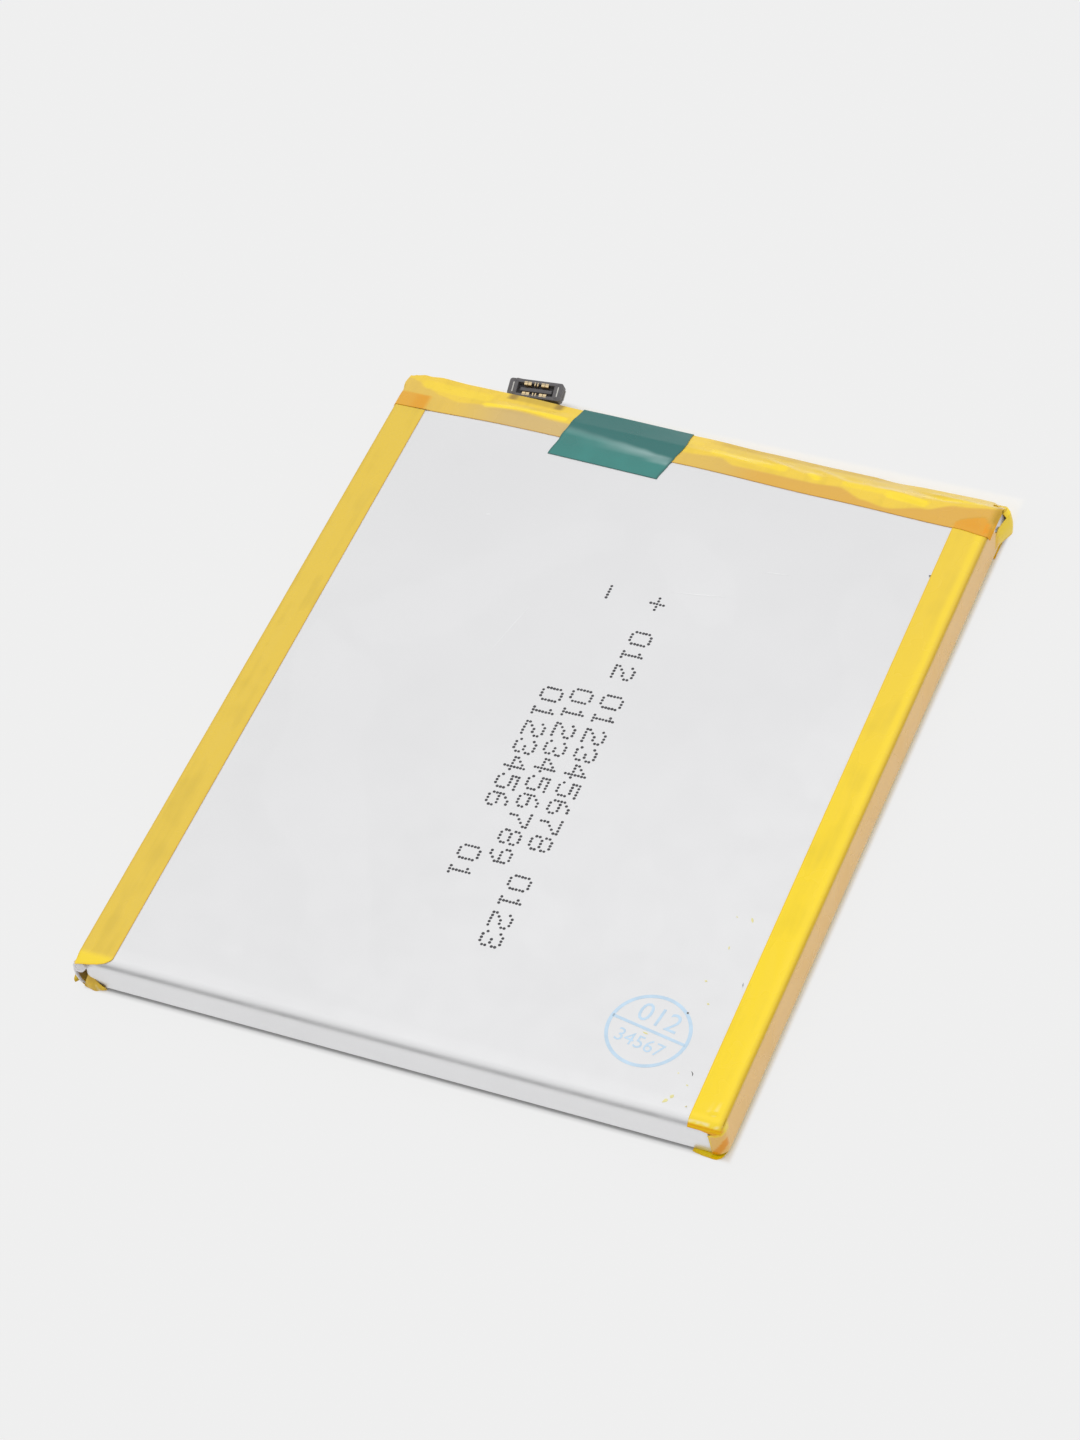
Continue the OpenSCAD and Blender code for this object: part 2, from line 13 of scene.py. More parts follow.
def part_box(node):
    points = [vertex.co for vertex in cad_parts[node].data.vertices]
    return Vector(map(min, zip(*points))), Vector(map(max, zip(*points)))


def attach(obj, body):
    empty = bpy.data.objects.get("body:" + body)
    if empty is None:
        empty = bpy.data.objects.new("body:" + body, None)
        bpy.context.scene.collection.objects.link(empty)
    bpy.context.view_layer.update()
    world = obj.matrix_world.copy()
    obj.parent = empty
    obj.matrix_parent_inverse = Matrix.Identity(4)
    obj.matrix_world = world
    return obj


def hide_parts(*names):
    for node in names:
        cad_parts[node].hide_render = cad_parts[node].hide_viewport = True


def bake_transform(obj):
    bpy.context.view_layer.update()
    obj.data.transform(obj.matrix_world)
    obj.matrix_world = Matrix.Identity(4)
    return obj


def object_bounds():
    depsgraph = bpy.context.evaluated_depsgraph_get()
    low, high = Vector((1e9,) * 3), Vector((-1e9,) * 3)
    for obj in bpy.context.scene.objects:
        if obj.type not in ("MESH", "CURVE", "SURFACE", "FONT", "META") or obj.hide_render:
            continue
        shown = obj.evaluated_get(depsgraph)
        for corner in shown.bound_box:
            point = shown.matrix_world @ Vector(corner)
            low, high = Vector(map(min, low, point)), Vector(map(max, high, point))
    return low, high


bl_info = {
    "name": "Pouch battery cell",
    "version": (1, 0, 0),
    "blender": (4, 5, 0),
    "location": "View3D > Sidebar > Cell",
    "description": "Models the film, tapes, connector and marks of a pouch battery cell",
    "category": "Mesh",
}

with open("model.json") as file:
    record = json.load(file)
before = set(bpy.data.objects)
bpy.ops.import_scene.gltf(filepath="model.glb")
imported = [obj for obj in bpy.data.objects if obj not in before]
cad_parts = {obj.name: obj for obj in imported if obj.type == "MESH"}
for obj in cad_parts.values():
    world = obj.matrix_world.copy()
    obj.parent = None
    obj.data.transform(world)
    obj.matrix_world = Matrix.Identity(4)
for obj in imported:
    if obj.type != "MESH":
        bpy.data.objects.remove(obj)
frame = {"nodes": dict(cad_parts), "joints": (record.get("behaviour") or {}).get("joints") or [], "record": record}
cad_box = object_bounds()

MM = 0.001
CUP_LOW, CUP_HIGH = (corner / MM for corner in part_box("pouch_cup"))
END_LOW, END_HIGH = (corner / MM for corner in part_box("end_tape"))
FLEX_LOW, FLEX_HIGH = (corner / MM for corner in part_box("flex_circuit"))
EDGE_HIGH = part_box("right_edge_tape")[1] / MM
HINGE = Vector(frame["joints"][0]["pos_m"]) / MM
SOCKET_AXIS = next(m["axis"] for m in frame["record"]["mounts"] if m["name"] == "connector")
TAIL_LEAN = math.atan2(-SOCKET_AXIS[1], SOCKET_AXIS[2])
TAIL_YAW = math.radians(4.4)
# Angles in degrees up to which tapes, pouch films and blocks are shaded smooth
TAPE_SMOOTH, FILM_SMOOTH, BLOCK_SMOOTH = 50, 40, 35
# Two places closer than this are the same
NEAR = 0.001
# Materials by the names that the operators use
FINISHES = {}


def linear(code):
    """Linear colour of an sRGB hex value, with alpha 1."""
    parts = [int(code[i:i + 2], 16) / 255 for i in (1, 3, 5)]
    bent = [p / 12.92 if p <= 0.04045 else ((p + 0.055) / 1.055) ** 2.4 for p in parts]
    return (*bent, 1.0)


def length(name, text, millimetres):
    """A length that a user may change."""
    return FloatProperty(name=name, description=text, default=millimetres * MM, unit="LENGTH",
                         precision=5)


def colour(name, text, code):
    """A colour that a user may change."""
    return FloatVectorProperty(name=name, description=text, default=linear(code), size=4,
                               subtype="COLOR", min=0, max=1)


class CellSizes(bpy.types.PropertyGroup):
    """Sizes of the cell's film, tapes, connector and marks"""

    cup_half: length("Cup half width", "Half the width of the drawn cup at its rim", 31.85)
    cup_back: length("Cup back", "Place of the cup's back wall along the cell", 37.1)
    wall_lean: length("Wall lean", "How far a wall leans in from the rim to the face", 0.22)
    corner_r: length("Corner radius", "Radius of the cup's upright corners", 1.4)
    edge_r: length("Edge radius", "Radius of the edge between the walls and the face", 1.15)
    film: length("Film", "Thickness of the pouch film", 0.11)
    seal_top: length("Seal top", "Height of the folded side seals", 3.64)
    fold_r: length("Seal fold", "Inner radius of the side seals' fold", 0.3)
    tape: length("Tape", "Thickness of the tapes with their adhesive", 0.06)
    bond: length("Bond", "Gap between two stuck layers", 0.01)
    crease_r: length("Crease", "Radius of an edge tape's crease at the face", 0.26)
    left_bulge: length("Left bulge", "How far the left edge tape stands off its wall", 0.1)
    shoulder_r: length("Shoulder", "Radius of the end tape's shoulder", 2.2)
    flex: length("Flex", "Thickness of the flex circuit", 0.12)
    stiffener: length("Stiffener", "Thickness of the stiffener under the connector", 0.2)
    conn_start: length("Connector start", "Distance from the bend to the housing", 0.55)
    conn_w: length("Connector width", "Width of the housing", 5.9)
    conn_d: length("Connector depth", "Depth of the housing", 2)
    conn_h: length("Connector height", "Height of the housing", 0.85)
    conn_wall: length("Connector wall", "Thickness of the housing's walls", 0.36)
    conn_end: length("Connector end", "Length of the housing's solid ends", 0.95)
    conn_floor: length("Connector floor", "Thickness of the housing's floor", 0.2)
    contact: length("Contact", "Thickness of the contact metal", 0.07)
    power_w: length("Power contact", "Width of a power contact", 0.36)
    signal_w: length("Signal contact", "Width of a signal contact", 0.11)
    clip: length("Clip", "Thickness of the hold-down clips", 0.12)
    dot: length("Dot", "Diameter of a printed dot", 0.31)
    stamp_r: length("Stamp radius", "Outer radius of the inspection stamp", 4.0)


class CellColours(bpy.types.PropertyGroup):
    """Colours of the cell's finishes"""

    film: colour("Pouch film", "Nylon face of the pouch film", "#EAEAEB")
    # The left and right tapes are the same tape: the left one's darker colour is painted shade and the right one's
    # brighter colour painted light.
    left_tape: colour("Left tape", "Polyimide tape on the left edge", "#E2C144")
    right_tape: colour("Right tape", "Polyimide tape on the right edge", "#F8D80E")
    end_tape: colour("End tape", "Polyimide tape over the board", "#EFCB42")
    double_tape: colour("Double tape", "Polyimide tape where two layers lie", "#E39A12")
    green_tape: colour("Green tape", "Polyester tape", "#2E8079")
    housing: colour("Housing", "Moulded connector plastic", "#5E5C5F")
    gold: colour("Gold", "Plated contacts", "#EBD3A6")
    tin: colour("Tin", "Plated hold-down clips", "#C9C7C2")
    ink: colour("Ink", "Printed dots", "#454448")
    stamp: colour("Stamp", "Inspection stamp", "#C3DBEE")
    floor: colour("Floor", "Table under the cell", "#F1F1F1")


def sizes(context):
    """All sizes in millimetres, by name."""
    group = context.scene.cell_sizes
    return SimpleNamespace(**{key: getattr(group, key) / MM for key in CellSizes.__annotations__})


def smooth(low, high, value):
    """Runs smoothly from 0 at low to 1 at high."""
    share = min(max((value - low) / (high - low), 0), 1)
    return share * share * (3 - 2 * share)


def between(low, high, share):
    """Value a share of the way from low to high."""
    return low + (high - low) * share


def along(points, x):
    """Value at x on a smooth line through points, each a place and its value."""
    if x <= points[0][0]:
        return points[0][1]
    for (start, low), (end, high) in zip(points, points[1:]):
        if x <= end:
            return between(low, high, smooth(start, end, x))
    return points[-1][1]


def from_line(x, y, start, end):
    """How far along a line a point lies, as a share, and the point's distance from the line."""
    offset, run = Vector((x, y)) - Vector(start), Vector(end) - Vector(start)
    share = min(max(offset.dot(run) / run.length_squared, 0), 1)
    return share, (offset - run * share).length


def stations(low, high, step, fixed=()):
    """Places from low to high about a step apart, with the fixed ones among them."""
    count = round((high - low) / step)
    even = [low + (high - low) * i / count for i in range(count + 1)]
    kept = [x for x in even if all(abs(x - f) > step * 0.6 for f in fixed) or x in (low, high)]
    return sorted(kept + list(fixed))


def rounded_path(corners, radii, steps, turn_steps=6):
    """Points along a path with rounded corners. Steps gives the parts of each straight leg."""
    corners = [Vector(c) for c in corners]
    path = []
    start = corners[0]
    for i, radius in enumerate(radii):
        before, corner, after = corners[i:i + 3]
        back, on = before - corner, after - corner
        cut = min(radius / math.tan(back.angle(on) / 2), 0.45 * back.length, 0.45 * on.length)
        enter = corner + back.normalized() * cut
        leave = corner + on.normalized() * cut
        path += [start.lerp(enter, k / steps[i]) for k in range(steps[i])]
        for k in range(turn_steps):
            t = k / turn_steps
            path.append(enter.lerp(corner, t).lerp(corner.lerp(leave, t), t))
        start = leave
    path += [start.lerp(corners[-1], k / steps[-1]) for k in range(steps[-1] + 1)]
    return path


def deselect():
    """Leaves nothing selected, in object mode."""
    if bpy.context.mode != "OBJECT":
        bpy.ops.object.mode_set(mode="OBJECT")
    bpy.ops.object.select_all(action="DESELECT")


def named(name):
    """Names the piece that was just made."""
    piece = bpy.context.object
    piece.name = name
    piece.data.name = name
    return piece


def pick(*pieces):
    """Selects only these pieces, the first one active."""
    deselect()
    for piece in pieces:
        piece.select_set(True)
    bpy.context.view_layer.objects.active = pieces[0]


def block(name, low, high):
    """A block between two corners in millimetres, with its place in its mesh."""
    low, high = Vector(low) * MM, Vector(high) * MM
    deselect()
    bpy.ops.mesh.primitive_cube_add(size=1, location=(low + high) / 2, scale=high - low)
    bpy.ops.object.transform_apply(location=True, rotation=True, scale=True)
    return named(name)


def choose(piece, kind, test):
    """Selects in edit mode the faces or edges whose middle, in millimetres, and direction pass."""
    pick(piece)
    bpy.ops.object.mode_set(mode="EDIT")
    bpy.ops.mesh.select_mode(type=kind)
    bpy.ops.mesh.select_all(action="DESELECT")
    mesh = bmesh.from_edit_mesh(piece.data)
    mesh.normal_update()
    for part in mesh.faces if kind == "FACE" else mesh.edges:
        middle = sum((v.co for v in part.verts), Vector()) / len(part.verts) / MM
        if kind == "FACE":
            heading = part.normal
        else:
            heading = (part.verts[1].co - part.verts[0].co).normalized()
        if test(middle, heading):
            part.select_set(True)
    mesh.select_flush_mode()
    bmesh.update_edit_mesh(piece.data)


def upright(middle, heading):
    """Whether an edge stands upright."""
    return abs(heading.z) > 0.9


def round_edges(piece, width, segments, test=upright):
    """Bevels the edges that pass a test, by a width in millimetres."""
    choose(piece, "EDGE", test)
    bpy.ops.mesh.bevel(offset=width * MM, segments=segments)


def finish_with(piece, kind, **settings):
    """Adds a modifier with its settings and applies it."""
    pick(piece)
    modifier = piece.modifiers.new(kind.title(), kind)
    for key, value in settings.items():
        setattr(modifier, key, value)
    bpy.ops.object.modifier_apply(modifier=modifier.name)


def thicken(piece, thickness, offset=0):
    """Gives a sheet its thickness in millimetres, by default to both sides."""
    finish_with(piece, "SOLIDIFY", thickness=thickness * MM, offset=offset)


def soften(piece, width, segments=2):
    """Rounds the sharp edges of a piece by a width in millimetres."""
    finish_with(piece, "BEVEL", width=width * MM, segments=segments, limit_method="ANGLE",
                angle_limit=math.radians(40))


def shade(piece, degrees=BLOCK_SMOOTH):
    """Shades a piece smooth up to an angle."""
    pick(piece)
    bpy.ops.object.shade_smooth_by_angle(angle=math.radians(degrees))


def make_tape(s, piece):
    """Gives a laid sheet the thickness and shading of tape."""
    thicken(piece, s.tape)
    shade(piece, TAPE_SMOOTH)


def join(name, pieces):
    """Makes one piece of several."""
    pick(*pieces)
    if len(pieces) > 1:
        bpy.ops.object.join()
    return named(name)


def weld(piece, distance=0.004):
    """Merges points that meet and turns the faces one way."""
    pick(piece)
    bpy.ops.object.mode_set(mode="EDIT")
    bpy.ops.mesh.select_all(action="SELECT")
    bpy.ops.mesh.remove_doubles(threshold=distance * MM)
    bpy.ops.mesh.normals_make_consistent(inside=False)
    bpy.ops.object.mode_set(mode="OBJECT")


def lay_sheet(name, columns, rows, place, cut=()):
    """A flat grid laid point by point in millimetres. Cut names the sides that are cut edges."""
    deselect()
    bpy.ops.mesh.primitive_grid_add(x_subdivisions=columns, y_subdivisions=rows, size=1)
    sheet = named(name)
    edge = sheet.data.attributes.new("cut_edge", "FLOAT", "POINT")
    for vertex, mark in zip(sheet.data.vertices, edge.data):
        column = round((vertex.co.x + 0.5) * columns)
        row = round((vertex.co.y + 0.5) * rows)
        sides = {"first_column": column == 0, "last_column": column == columns,
                 "first_row": row == 0, "last_row": row == rows}
        mark.value = 1.0 if any(sides[side] for side in cut) else 0.0
        vertex.co = Vector(place(column, row)) * MM
    return sheet


def marks(piece, **measures):
    """Gives each point of a piece named values, each measured from its place in millimetres."""
    for name, measure in measures.items():
        values = [measure(*(vertex.co / MM)) for vertex in piece.data.vertices]
        piece.data.attributes.new(name, "FLOAT", "POINT").data.foreach_set("value", values)


def extrude_strip(name, path, span):
    """A sheet made from an edge along span, extruded leg by leg along a path in millimetres."""
    path = [Vector(p) * MM for p in path]
    half = Vector(span) * MM / 2
    deselect()
    bpy.ops.mesh.primitive_plane_add(size=1)
    sheet = named(name)
    for vertex in sheet.data.vertices:
        foot = path[0] if vertex.co.x < 0 else path[1]
        vertex.co = foot + (half if vertex.co.y > 0 else -half)
    choose(sheet, "EDGE", lambda middle, heading: (middle * MM - path[1]).length < 1e-7)
    for start, end in zip(path[1:], path[2:]):
        bpy.ops.mesh.extrude_region_move(TRANSFORM_OT_translate={"value": end - start})
    bpy.ops.object.mode_set(mode="OBJECT")
    return sheet


def dress(piece, finish, slot, *nodes, body="cell"):
    """Gives a piece its material, hangs it from its body's empty and hides the parts it stands for."""
    piece.data.materials.clear()
    piece.data.materials.append(FINISHES[finish])
    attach(piece, body)
    if nodes:
        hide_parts(*nodes)


def mount(s, piece, degrees, finish, slot, node):
    """Turns a piece drawn flat on the tail up to its rest place, a little askew, and dresses it."""
    pick(piece)
    about = Matrix.Translation(HINGE * MM)
    middle = Matrix.Translation((0, (s.conn_start + s.conn_d / 2) * MM, 0))
    askew = middle @ Matrix.Rotation(TAIL_YAW, 4, "Z") @ middle.inverted()
    piece.matrix_world = about @ Matrix.Rotation(TAIL_LEAN, 4, "X") @ askew @ piece.matrix_world
    bpy.ops.object.transform_apply(location=True, rotation=True, scale=True)
    shade(piece, degrees)
    dress(piece, finish, slot, node, body="connector_tail")


def add_node(tree, kind, inputs, **settings):
    """Adds a shader node with its settings; an input is a value or another node's socket."""
    node = tree.nodes.new("ShaderNode" + kind)
    for key, value in settings.items():
        setattr(node, key, value)
    for key, value in inputs.items():
        if isinstance(value, bpy.types.NodeSocket):
            tree.links.new(value, node.inputs[key])
        else:
            node.inputs[key].default_value = value
    return node


def new_material(name, grains, **shader):
    """A material with its main shader's plain values set, its coordinates, and soft noise values,
    each of a size in millimetres and a detail."""
    material = bpy.data.materials.new(name)
    material.use_nodes = True
    tree = material.node_tree
    for key, value in shader.items():
        tree.nodes["Principled BSDF"].inputs[key.replace("_", " ")].default_value = value
    place = tree.nodes.new("ShaderNodeTexCoord").outputs["Object"]
    fields = [add_node(tree, "TexNoise", {"Vector": place, "Scale": 1 / (size * MM), "Detail": detail})
              for size, detail in grains]
    return material, tree, place, [field.outputs["Fac"] for field in fields]


def scaled(rgb, factor):
    """A colour made darker or lighter."""
    return (*(min(part * factor, 1) for part in rgb[:3]), 1.0)


# Range in which nearly all of a noise value lies
NOISE_RANGE = {"From Min": 0.3, "From Max": 0.7}


def surface(tree, tint, layers, gloss, relief):
    """Links the main shader's colour, roughness and fine relief. Tint is a value and its two stops; a
    layer is a mark on the piece, its colour and the most it covers; gloss is a value and its range of
    roughness; relief is a value, its strength and its height in millimetres."""
    into = tree.nodes["Principled BSDF"].inputs
    value, *stops = tint
    ramp = add_node(tree, "ValToRGB", {"Fac": value})
    for element, (position, shown) in zip(ramp.color_ramp.elements, stops):
        element.position = position
        element.color = shown
    shown = ramp.outputs["Color"]
    for layer, deep, most in layers:
        marked = add_node(tree, "Attribute", {}, attribute_name=layer)
        share = add_node(tree, "Math", {0: marked.outputs["Fac"], 1: most}, operation="MULTIPLY")
        mix = add_node(tree, "Mix", {0: share.outputs["Value"], 6: shown, 7: deep}, data_type="RGBA")
        shown = mix.outputs[2]
    tree.links.new(shown, into["Base Color"])
    value, low, high = gloss
    rough = add_node(tree, "MapRange", {"Value": value, **NOISE_RANGE, "To Min": low, "To Max": high})
    tree.links.new(rough.outputs["Result"], into["Roughness"])
    value, strength, height = relief
    bump = add_node(tree, "Bump", {"Height": value, "Strength": strength, "Distance": height * MM})
    tree.links.new(bump.outputs["Normal"], into["Normal"])


def mottled(name, base, size, depth, grain, height, roughness, metal):
    """A plain matt or metal surface with soft blotches of one size and a grain of another."""
    material, tree, place, (blotch, fine) = new_material(name, ((size, 3.0), (grain, 2.0)), Metallic=metal)
    surface(tree, (blotch, (0.3, scaled(base, 1 - depth)), (0.7, scaled(base, 1 + depth))), (),
            (fine, roughness * 0.85, roughness * 1.15), (fine, 0.3, height))
    return material


def pouch_laminate(base):
    """Nylon film on aluminium foil: a pale satin sheet, faintly mottled, with a fine drawn grain."""
    material, tree, place, (cloud, haze, grain) = new_material(
        "Nylon-faced aluminium laminate", ((18, 2.0), (2.5, 4.0), (0.25, 2.0)), Metallic=0.75, IOR=1.53)
    faint = add_node(tree, "MapRange", {"Value": haze, **NOISE_RANGE, "To Min": -0.12, "To Max": 0.12})
    both = add_node(tree, "Math", {0: cloud, 1: faint.outputs["Result"]})
    surface(tree, (both.outputs["Value"], (0.25, scaled(base, 0.98)), (0.75, scaled(base, 1.015))), (),
            (haze, 0.36, 0.46), (grain, 0.25, 0.01))
    return material


# Size of a streak in the amber tape, across, along and up
STREAK = (0.9, 12, 0.9)


def polyimide_tape(name, base, double, side):
    """Amber polyimide film with clear adhesive: glossy, streaked along its length and deeper in colour at cut
    edges and where two layers lie; what lies under it shows as a shade. Its marks also paint shade at creases, on
    walls and in hollows, light where it comes through loose film, and pale glints."""
    material, tree, place, (cloud, ripple) = new_material(name, ((4, 2.0), (1.4, 2.0)), IOR=1.42)
    stretched = add_node(tree, "Mapping", {"Vector": place, "Scale": [1 / (mm * MM) for mm in STREAK]})
    streak = add_node(tree, "TexNoise", {"Vector": stretched.outputs["Vector"], "Scale": 1.0,
                                         "Detail": 3.0})
    mixed = add_node(tree, "Math", {0: streak.outputs["Fac"], 1: cloud})
    # Painted light and shade among these layers: the pressed front part is partly painted shade; the tan of walls,
    # the creases and the dark of hollows are painted shade; the bright yellow is painted light coming through
    # loose film; the pale spots are painted glints.
    layers = (("pressed", linear("#DCB65C"), 1.0), ("loose", linear("#FFDF30"), 1.0),
              ("side", side, 0.85), ("second_layer", double, 0.85),
              ("crease", linear("#C79C2C"), 1.0), ("cut_edge", scaled(double, 0.9), 0.35),
              ("glow", linear("#EC9A00"), 1.0), ("pale", linear("#FFF4BE"), 1.0),
              ("olive", linear("#C9A222"), 1.0), ("dark_below", linear("#8F7038"), 1.0))
    surface(tree, (mixed.outputs["Value"], (0.7, scaled(base, 0.94)), (1.0, scaled(base, 1.03))), layers,
            (cloud, 0.2, 0.32), (ripple, 0.3, 0.02))
    return material


def polyester_tape(base):
    """Green polyester film: glossy and even, with faint clouds from the adhesive under it."""
    material, tree, place, (cloud, ripple) = new_material("Green polyester tape", ((3, 3.0), (1.2, 2.0)),
                                                          IOR=1.55)
    # The pale layer is a painted highlight along the ridge onto the end tape.
    layers = (("over_tape", linear("#216B67"), 1.0), ("lifted", linear("#8BAEAB"), 1.0),
              ("cut_edge", scaled(base, 0.6), 1.0))
    surface(tree, (cloud, (0.3, scaled(base, 0.92)), (0.7, scaled(base, 1.06))), layers,
            (cloud, 0.26, 0.36), (ripple, 0.25, 0.015))
    return material


def face_height(x, y):
    """Height of the pouch's face: nearly flat, a little crowned, with shallow dents."""
    crown = 0.03 * max(1 - (x / 30) ** 2, 0) * max(1 - ((y + 1.5) / 37) ** 2, 0)
    dent = 0.012 * noise.noise((x / 11, y / 13, 0.3))
    inside = smooth(31, 27, abs(x)) * smooth(-39, -35, y) * smooth(36, 32, y)
    return CUP_HIGH.z + inside * (crown + dent)


def side_seals(s, layer):
    """The films of both side seals, folded up along the walls: 0 is the cup's film, 1 the cover's."""
    inner_x = s.cup_half - s.film
    base = CUP_LOW.z + s.film / 2 - layer * (s.film + s.bond)
    foot = s.cup_half + s.film * (layer + 0.5) + s.bond * layer + s.fold_r - 0.02
    top = foot - s.wall_lean * (s.seal_top - base) / (CUP_HIGH.z - CUP_LOW.z)
    radius = s.fold_r + s.film * (layer + 0.5)
    path = rounded_path([(inner_x, base), (foot, base), (top, s.seal_top)], (radius,), (1, 4))
    middle, span = (SEAL_FRONT + s.cup_back) / 2, (0, s.cup_back - SEAL_FRONT, 0)
    leaves = [extrude_strip("leaf", [(side * x, middle, z) for x, z in path], span) for side in (-1, 1)]
    for leaf in leaves:
        thicken(leaf, s.film)
    return leaves


# Front ends of the side seals and of the cup, roll of the cup's rim, height and tuck of the front foot
SEAL_FRONT, FRONT_WALL = -38.6, CUP_LOW.y - 0.3
RIM_ROLL, FRONT_FOOT, FRONT_TUCK = 0.1, 0.14, 0.2
# Places across, along and up at which the cup's mesh is cut finer
CUP_CUTS = (range(-30, 31, 3), range(-38, 37, 3), (0.7, 1.1, 1.5, 2, 2.5))
# Back seal: columns and rows of its mesh, its rise over a tab and the tabs' distance from the middle
TERRACE_COLUMNS, TERRACE_ROWS, TAB_RISE, TAB_PLACE = 40, 3, 0.2, 9
# Cover: gap to the front wall, and where the step of its embossed panel starts and ends
COVER_GAP = 0.12
PANEL_SIDE, PANEL_BACK, PANEL_FRONT = (28.4, 28.2), (34.15, 33.95), (-39.88, -39.4)


class CELL_OT_pouch(bpy.types.Operator):
    """Draws the cup film with its face, its back seal and its two side seals"""

    bl_idname = "cell.pouch"
    bl_label = "Pouch film"

    def execute(self, context):
        s = sizes(context)
        front, low, high = FRONT_WALL, CUP_LOW.z, CUP_HIGH.z
        cup = block("cup", (-s.cup_half, front, low), (s.cup_half, s.cup_back, high))
        reach = s.cup_back - front
        choose(cup, "FACE", lambda middle, normal: normal.z > 0.9)
        bpy.ops.transform.resize(value=(1 - s.wall_lean / s.cup_half, 1 - s.wall_lean / reach, 1),
                                 center_override=(0, front * MM, high * MM))
        round_edges(cup, s.corner_r, 8)
        round_edges(cup, RIM_ROLL, 4, lambda middle, heading: middle.z < low + NEAR)
        choose(cup, "FACE", lambda middle, normal: normal.z < -0.99)
        bpy.ops.mesh.delete(type="FACE")
        round_edges(cup, s.edge_r, 8, lambda middle, heading: middle.z > high - NEAR)
        for axis, places in enumerate(CUP_CUTS):
            normal = Vector((axis == 0, axis == 1, axis == 2))
            for place in places:
                bpy.ops.mesh.select_all(action="SELECT")
                bpy.ops.mesh.bisect(plane_co=normal * place * MM, plane_no=normal)
        bpy.ops.object.mode_set(mode="OBJECT")
        for vertex in cup.data.vertices:
            x, y, z = vertex.co / MM
            if z > high - NEAR:
                vertex.co.z = face_height(x, y) * MM
            elif y < front + s.corner_r:
                vertex.co = self.front_end(s, x, y, z) * MM
        thicken(cup, s.film, offset=-1)
        half = s.cup_half - 0.6

        def back_seal(column, row):
            x = between(-half, half, column / TERRACE_COLUMNS)
            y = between(s.cup_back - s.film, CUP_HIGH.y, row / TERRACE_ROWS)
            return x, y, low + s.film / 2 + TAB_RISE * smooth(4.6, 3.6, abs(abs(x) - TAB_PLACE))

        terrace = lay_sheet("terrace", TERRACE_COLUMNS, TERRACE_ROWS, back_seal)
        thicken(terrace, s.film)
        pouch = join("pouch_film", [cup, terrace, *side_seals(s, 0)])
        shade(pouch, FILM_SMOOTH)
        dress(pouch, "pouch_film", "pouch_film", "pouch_cup")
        return {"FINISHED"}

    def front_end(self, s, x, y, z):
        """Squares the left front corner below the face and tucks the front wall's foot under."""
        aside, ahead = x + s.cup_half - s.corner_r, y - FRONT_WALL - s.corner_r
        if aside < 0 and ahead < 0:
            reach = math.hypot(aside, ahead)
            square = ((aside / reach) ** 6 + (ahead / reach) ** 6) ** (-1 / 6)
            push = (square - 1) * smooth(3.9, 3.0, z)
            x += aside * push
            y += ahead * push
        tuck = smooth(1.5, CUP_LOW.z, z) * smooth(31.4, 30.4, abs(x)) * smooth(0.9, 0.6, y - FRONT_WALL)
        return Vector((x, y + FRONT_TUCK * tuck, z - (CUP_LOW.z - FRONT_FOOT) * tuck))


class CELL_OT_cover(bpy.types.Operator):
    """Lays the flat cover film with its embossed panel and its two side seals"""

    bl_idname = "cell.cover"
    bl_label = "Cover film"

    def execute(self, context):
        s = sizes(context)
        flange = CUP_LOW.z - s.bond - s.film / 2
        step = flange - s.film / 2
        across = stations(-s.cup_half, s.cup_half, 2, (-28.4, -28.2, 28.2, 28.4))
        lengthwise = stations(CUP_LOW.y + COVER_GAP, CUP_HIGH.y, 2, (-39.75, -39.6, -39.4, 33.95, 34.15))

        def place(column, row):
            x, y = across[column], lengthwise[row]
            inside = smooth(*PANEL_SIDE, abs(x)) * smooth(*PANEL_BACK, y) * smooth(*PANEL_FRONT, y)
            narrow = 1 - 0.02 * smooth(s.cup_back, s.cup_back + 0.6, y)
            return x * narrow, y, flange - step * inside

        panel = lay_sheet("panel", len(across) - 1, len(lengthwise) - 1, place)
        thicken(panel, s.film)
        cover = join("cover_film", [panel, *side_seals(s, 1)])
        shade(cover, FILM_SMOOTH)
        dress(cover, "pouch_film", "pouch_film", "pouch_cover")
        return {"FINISHED"}


# Rolled end of the left seal: middle of its front, heading, radius, length and unevenness
BEAD_PLACE = Vector((-31.95, -40.55, 3.18))
BEAD_HEADING = Vector((-0.05, -0.9, 0.35)).normalized()
BEAD_R, BEAD_LONG, BEAD_ROUGH = 0.56, 1.5, 0.05
# Rim of the film below the roll, and the bare ledge at the right seal's back end
FILM_RIM = ((-32.4, 2.85), (-32.76, 2.4), (-32.78, 1.5), (-32.56, 0.7), (-32.3, 0.3), (-32.0, 0.16))
RIM_FRONT, RIM_BACK, RIM_ROWS, RIM_THICK = -40.38, -39.5, 4, 0.22
LEDGE_FRONT, LEDGE_BACK, LEDGE_COLUMNS, LEDGE_ROWS = 35.2, 37.7, 3, 10


